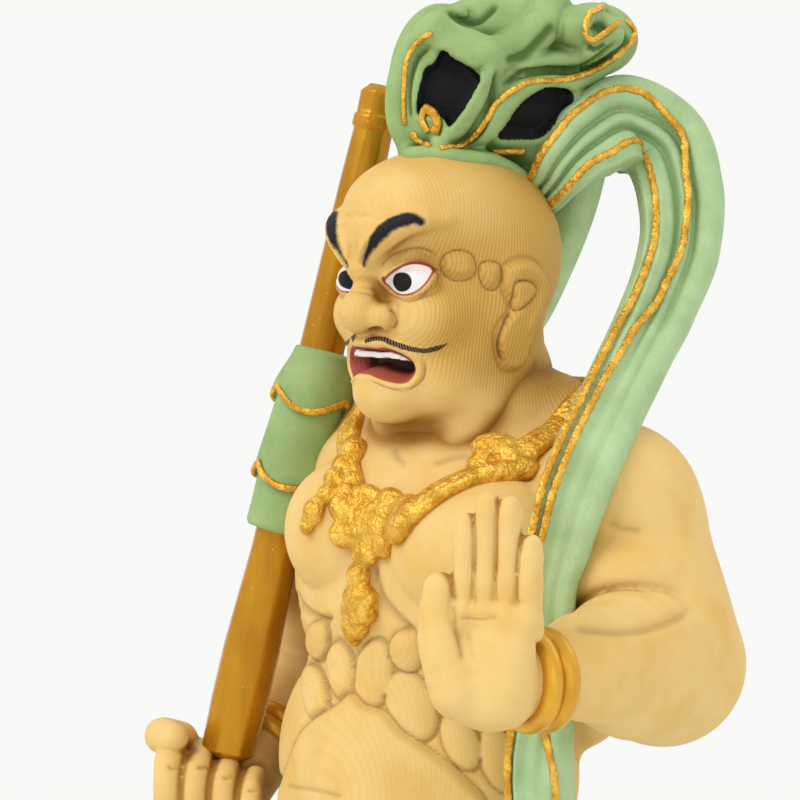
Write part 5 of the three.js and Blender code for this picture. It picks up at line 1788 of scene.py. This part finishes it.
class StageOperator(bpy.types.Operator):
    """Pale floor, soft studio light and the camera of the photograph"""

    bl_idname = "guardian.make_stage"
    bl_label = "Floor, lights and camera"

    def execute(self, context):
        scene = context.scene
        bm = bmesh.new()
        bmesh.ops.create_circle(bm, cap_ends=True, segments=96, radius=FLOOR_RADIUS)
        floor = bpy.data.objects.new("floor", to_mesh(bm, "floor"))
        scene.collection.objects.link(floor)
        finish = Finish("pale_floor", FLOOR_COLOUR)
        finish.feed(roughness=0.8)
        distance = finish.node("ShaderNodeVectorMath", {"operation": "LENGTH"}, {0: finish.place()}, "Value")
        clear = finish.node("ShaderNodeBsdfTransparent")
        blend = finish.node("ShaderNodeMixShader", None, {
            0: distance.between(*FLOOR_FADE), 1: Link(finish, finish.shader.outputs[0]), 2: clear})
        output = next(n for n in finish.tree.nodes if n.type == "OUTPUT_MATERIAL")
        finish.tree.links.new(blend.socket, output.inputs["Surface"])
        floor.data.materials.append(finish.material)

        world = bpy.data.worlds.new("studio")
        world.use_nodes = True
        background = world.node_tree.nodes["Background"]
        background.inputs["Color"].default_value = ROOM_COLOUR
        background.inputs["Strength"].default_value = sizes().sky_light
        scene.world = world
        for name, (place, size) in LAMPS.items():
            lamp = bpy.data.lights.new(name, "AREA")
            lamp.shape = "SQUARE"
            lamp.size = size
            lamp.energy = sizes().key_light if name == "key" else sizes().fill_light
            holder = bpy.data.objects.new(name, lamp)
            scene.collection.objects.link(holder)
            aim_at(holder, np.array(place), LAMP_AIM)

        lens = bpy.data.cameras.new("camera")
        lens.sensor_width = SENSOR
        lens.lens = FOCAL_PIXELS / (2 * PHOTO_MIDDLE) * SENSOR
        lens.clip_start = 0.01
        camera = bpy.data.objects.new("camera", lens)
        scene.collection.objects.link(camera)
        aim_at(camera, CAMERA_PLACE * MM, CAMERA_PLACE * MM + VIEW_AHEAD)
        scene.camera = camera
        scene.view_settings.view_transform = "Standard"
        return {"FINISHED"}


def aim_at(holder, place, target):
    """Puts a lamp or camera at a place and points it at a target"""
    back = unit(place - target)
    right = unit(np.cross((0, 0, 1), back))
    up = np.cross(back, right)
    matrix = Matrix(np.column_stack([right, up, back]).tolist()).to_4x4()
    matrix.translation = place
    holder.matrix_world = matrix


class GuardianSizes(bpy.types.PropertyGroup):
    skin_voxel: bpy.props.FloatProperty(
        name="Skin mesh", description="Edge of the skin's coarse faces", default=0.00075,
        subtype="DISTANCE", unit="LENGTH")
    tool_pitch: bpy.props.FloatProperty(
        name="Tool pitch", description="Distance between passes of the cutting tool", default=0.00045,
        subtype="DISTANCE", unit="LENGTH")
    sky_light: bpy.props.FloatProperty(
        name="Room light", description="Brightness of the pale room", default=1.0)
    key_light: bpy.props.FloatProperty(
        name="Key light", description="Power of the main soft light", default=4.6)
    fill_light: bpy.props.FloatProperty(
        name="Fill light", description="Power of the two side lights", default=0.8)


def colour_property(name, description, default):
    return bpy.props.FloatVectorProperty(
        name=name, description=description, subtype="COLOR", size=3, min=0, max=1, default=default)


class GuardianColours(bpy.types.PropertyGroup):
    skin: colour_property("Skin", "Pale painted wood", (0.76, 0.53, 0.2))
    skin_warm: colour_property("Warm skin", "Warmer patches of the skin", (0.72, 0.45, 0.13))
    skin_cut: colour_property("Tooled skin", "Darker skin where the tool's passes show", (0.58, 0.34, 0.07))
    # Deep skin is the colour of the painted shade in hollows and in the valleys of the tool's passes
    skin_shade: colour_property("Deep skin", "Skin in the hollows", (0.36, 0.17, 0.025))
    # The crease colour is painted shade laid in the cut lines
    crease: colour_property("Crease", "Stain in the cut lines", (0.13, 0.065, 0.02))
    # The nostril colour is red-brown painted shade in the nostrils
    nostril: colour_property("Nostril", "Red-brown of the nostrils", (0.3, 0.085, 0.02))
    brow: colour_property("Brow", "Blue-black of the brows", (0.007, 0.007, 0.01))
    hair: colour_property("Hair", "Black of hair and irises", (0.003, 0.003, 0.004))
    white: colour_property("White", "Eyes and teeth", (0.8, 0.72, 0.72))
    rim: colour_property("Crimson", "Lip and eyelid rims", (0.33, 0.03, 0.035))
    mouth: colour_property("Mouth", "Inside of the mouth", (0.05, 0.014, 0.006))
    tongue: colour_property("Tongue", "Lower part of the mouth", (0.3, 0.06, 0.045))
    jade: colour_property("Jade", "Pale green scarf", (0.44, 0.6, 0.32))
    # Deep jade darkens the pale green cloth in random mottling and as painted shade in its folds
    jade_shade_and_mottle: colour_property("Deep jade", "Pale green cloth in its folds", (0.16, 0.27, 0.09))
    # Green cloth is the pale jade painted darker for the shade that the topknot and sleeve sit in; the skirt
    # is given the same darker green
    cloth: colour_property("Green cloth", "Green of topknot cloth, sleeve and skirt", (0.32, 0.45, 0.18))
    # Deep green darkens the green cloth in random mottling and as painted shade in its folds
    cloth_shade_and_mottle: colour_property("Deep green", "Green cloth in its folds", (0.09, 0.16, 0.035))
    gold: colour_property("Gold", "Bright gilding", (0.92, 0.56, 0.09))
    # Deep gold is the satin bracelets' ground and the gilding's random darker patches, and painted shade
    # between its grains
    dark_gold_and_shade: colour_property("Deep gold", "Worn gilding", (0.62, 0.31, 0.025))
    gold_satin: colour_property("Satin gold", "Smooth gilding of the bracelets", (0.74, 0.39, 0.03))
    club: colour_property("Club", "Golden brown club", (0.55, 0.26, 0.012))
    club_deep: colour_property("Deep club", "Darker streaks of the club", (0.36, 0.14, 0.003))
    rock: colour_property("Rock", "Plinth", (0.2, 0.13, 0.08))
    rock_deep: colour_property("Deep rock", "Hollows of the plinth", (0.07, 0.045, 0.03))


OPERATORS = (HeadOperator, BodyOperator, LegsOperator, SkirtOperator, JewelleryOperator, TopknotOperator,
             ScarfOperator, ClubOperator, PlinthOperator, StageOperator)


class GuardianPanel(bpy.types.Panel):
    bl_idname = "VIEW3D_PT_guardian"
    bl_label = "Temple guardian"
    bl_space_type = "VIEW_3D"
    bl_region_type = "UI"
    bl_category = "Guardian"

    def draw(self, context):
        for operator in OPERATORS:
            self.layout.operator(operator.bl_idname)
        for group in (context.scene.guardian_sizes, context.scene.guardian_colours):
            for key in group.__annotations__:
                self.layout.prop(group, key)


CLASSES = (GuardianSizes, GuardianColours, *OPERATORS, GuardianPanel)


def register():
    for cls in CLASSES:
        bpy.utils.register_class(cls)
    bpy.types.Scene.guardian_sizes = bpy.props.PointerProperty(type=GuardianSizes)
    bpy.types.Scene.guardian_colours = bpy.props.PointerProperty(type=GuardianColours)


def unregister():
    del bpy.types.Scene.guardian_sizes
    del bpy.types.Scene.guardian_colours
    for cls in reversed(CLASSES):
        bpy.utils.unregister_class(cls)


def main():
    register()
    for operator in OPERATORS:
        group, name = operator.bl_idname.split(".")
        getattr(getattr(bpy.ops, group), name)()


if __name__ == "__main__":
    main()
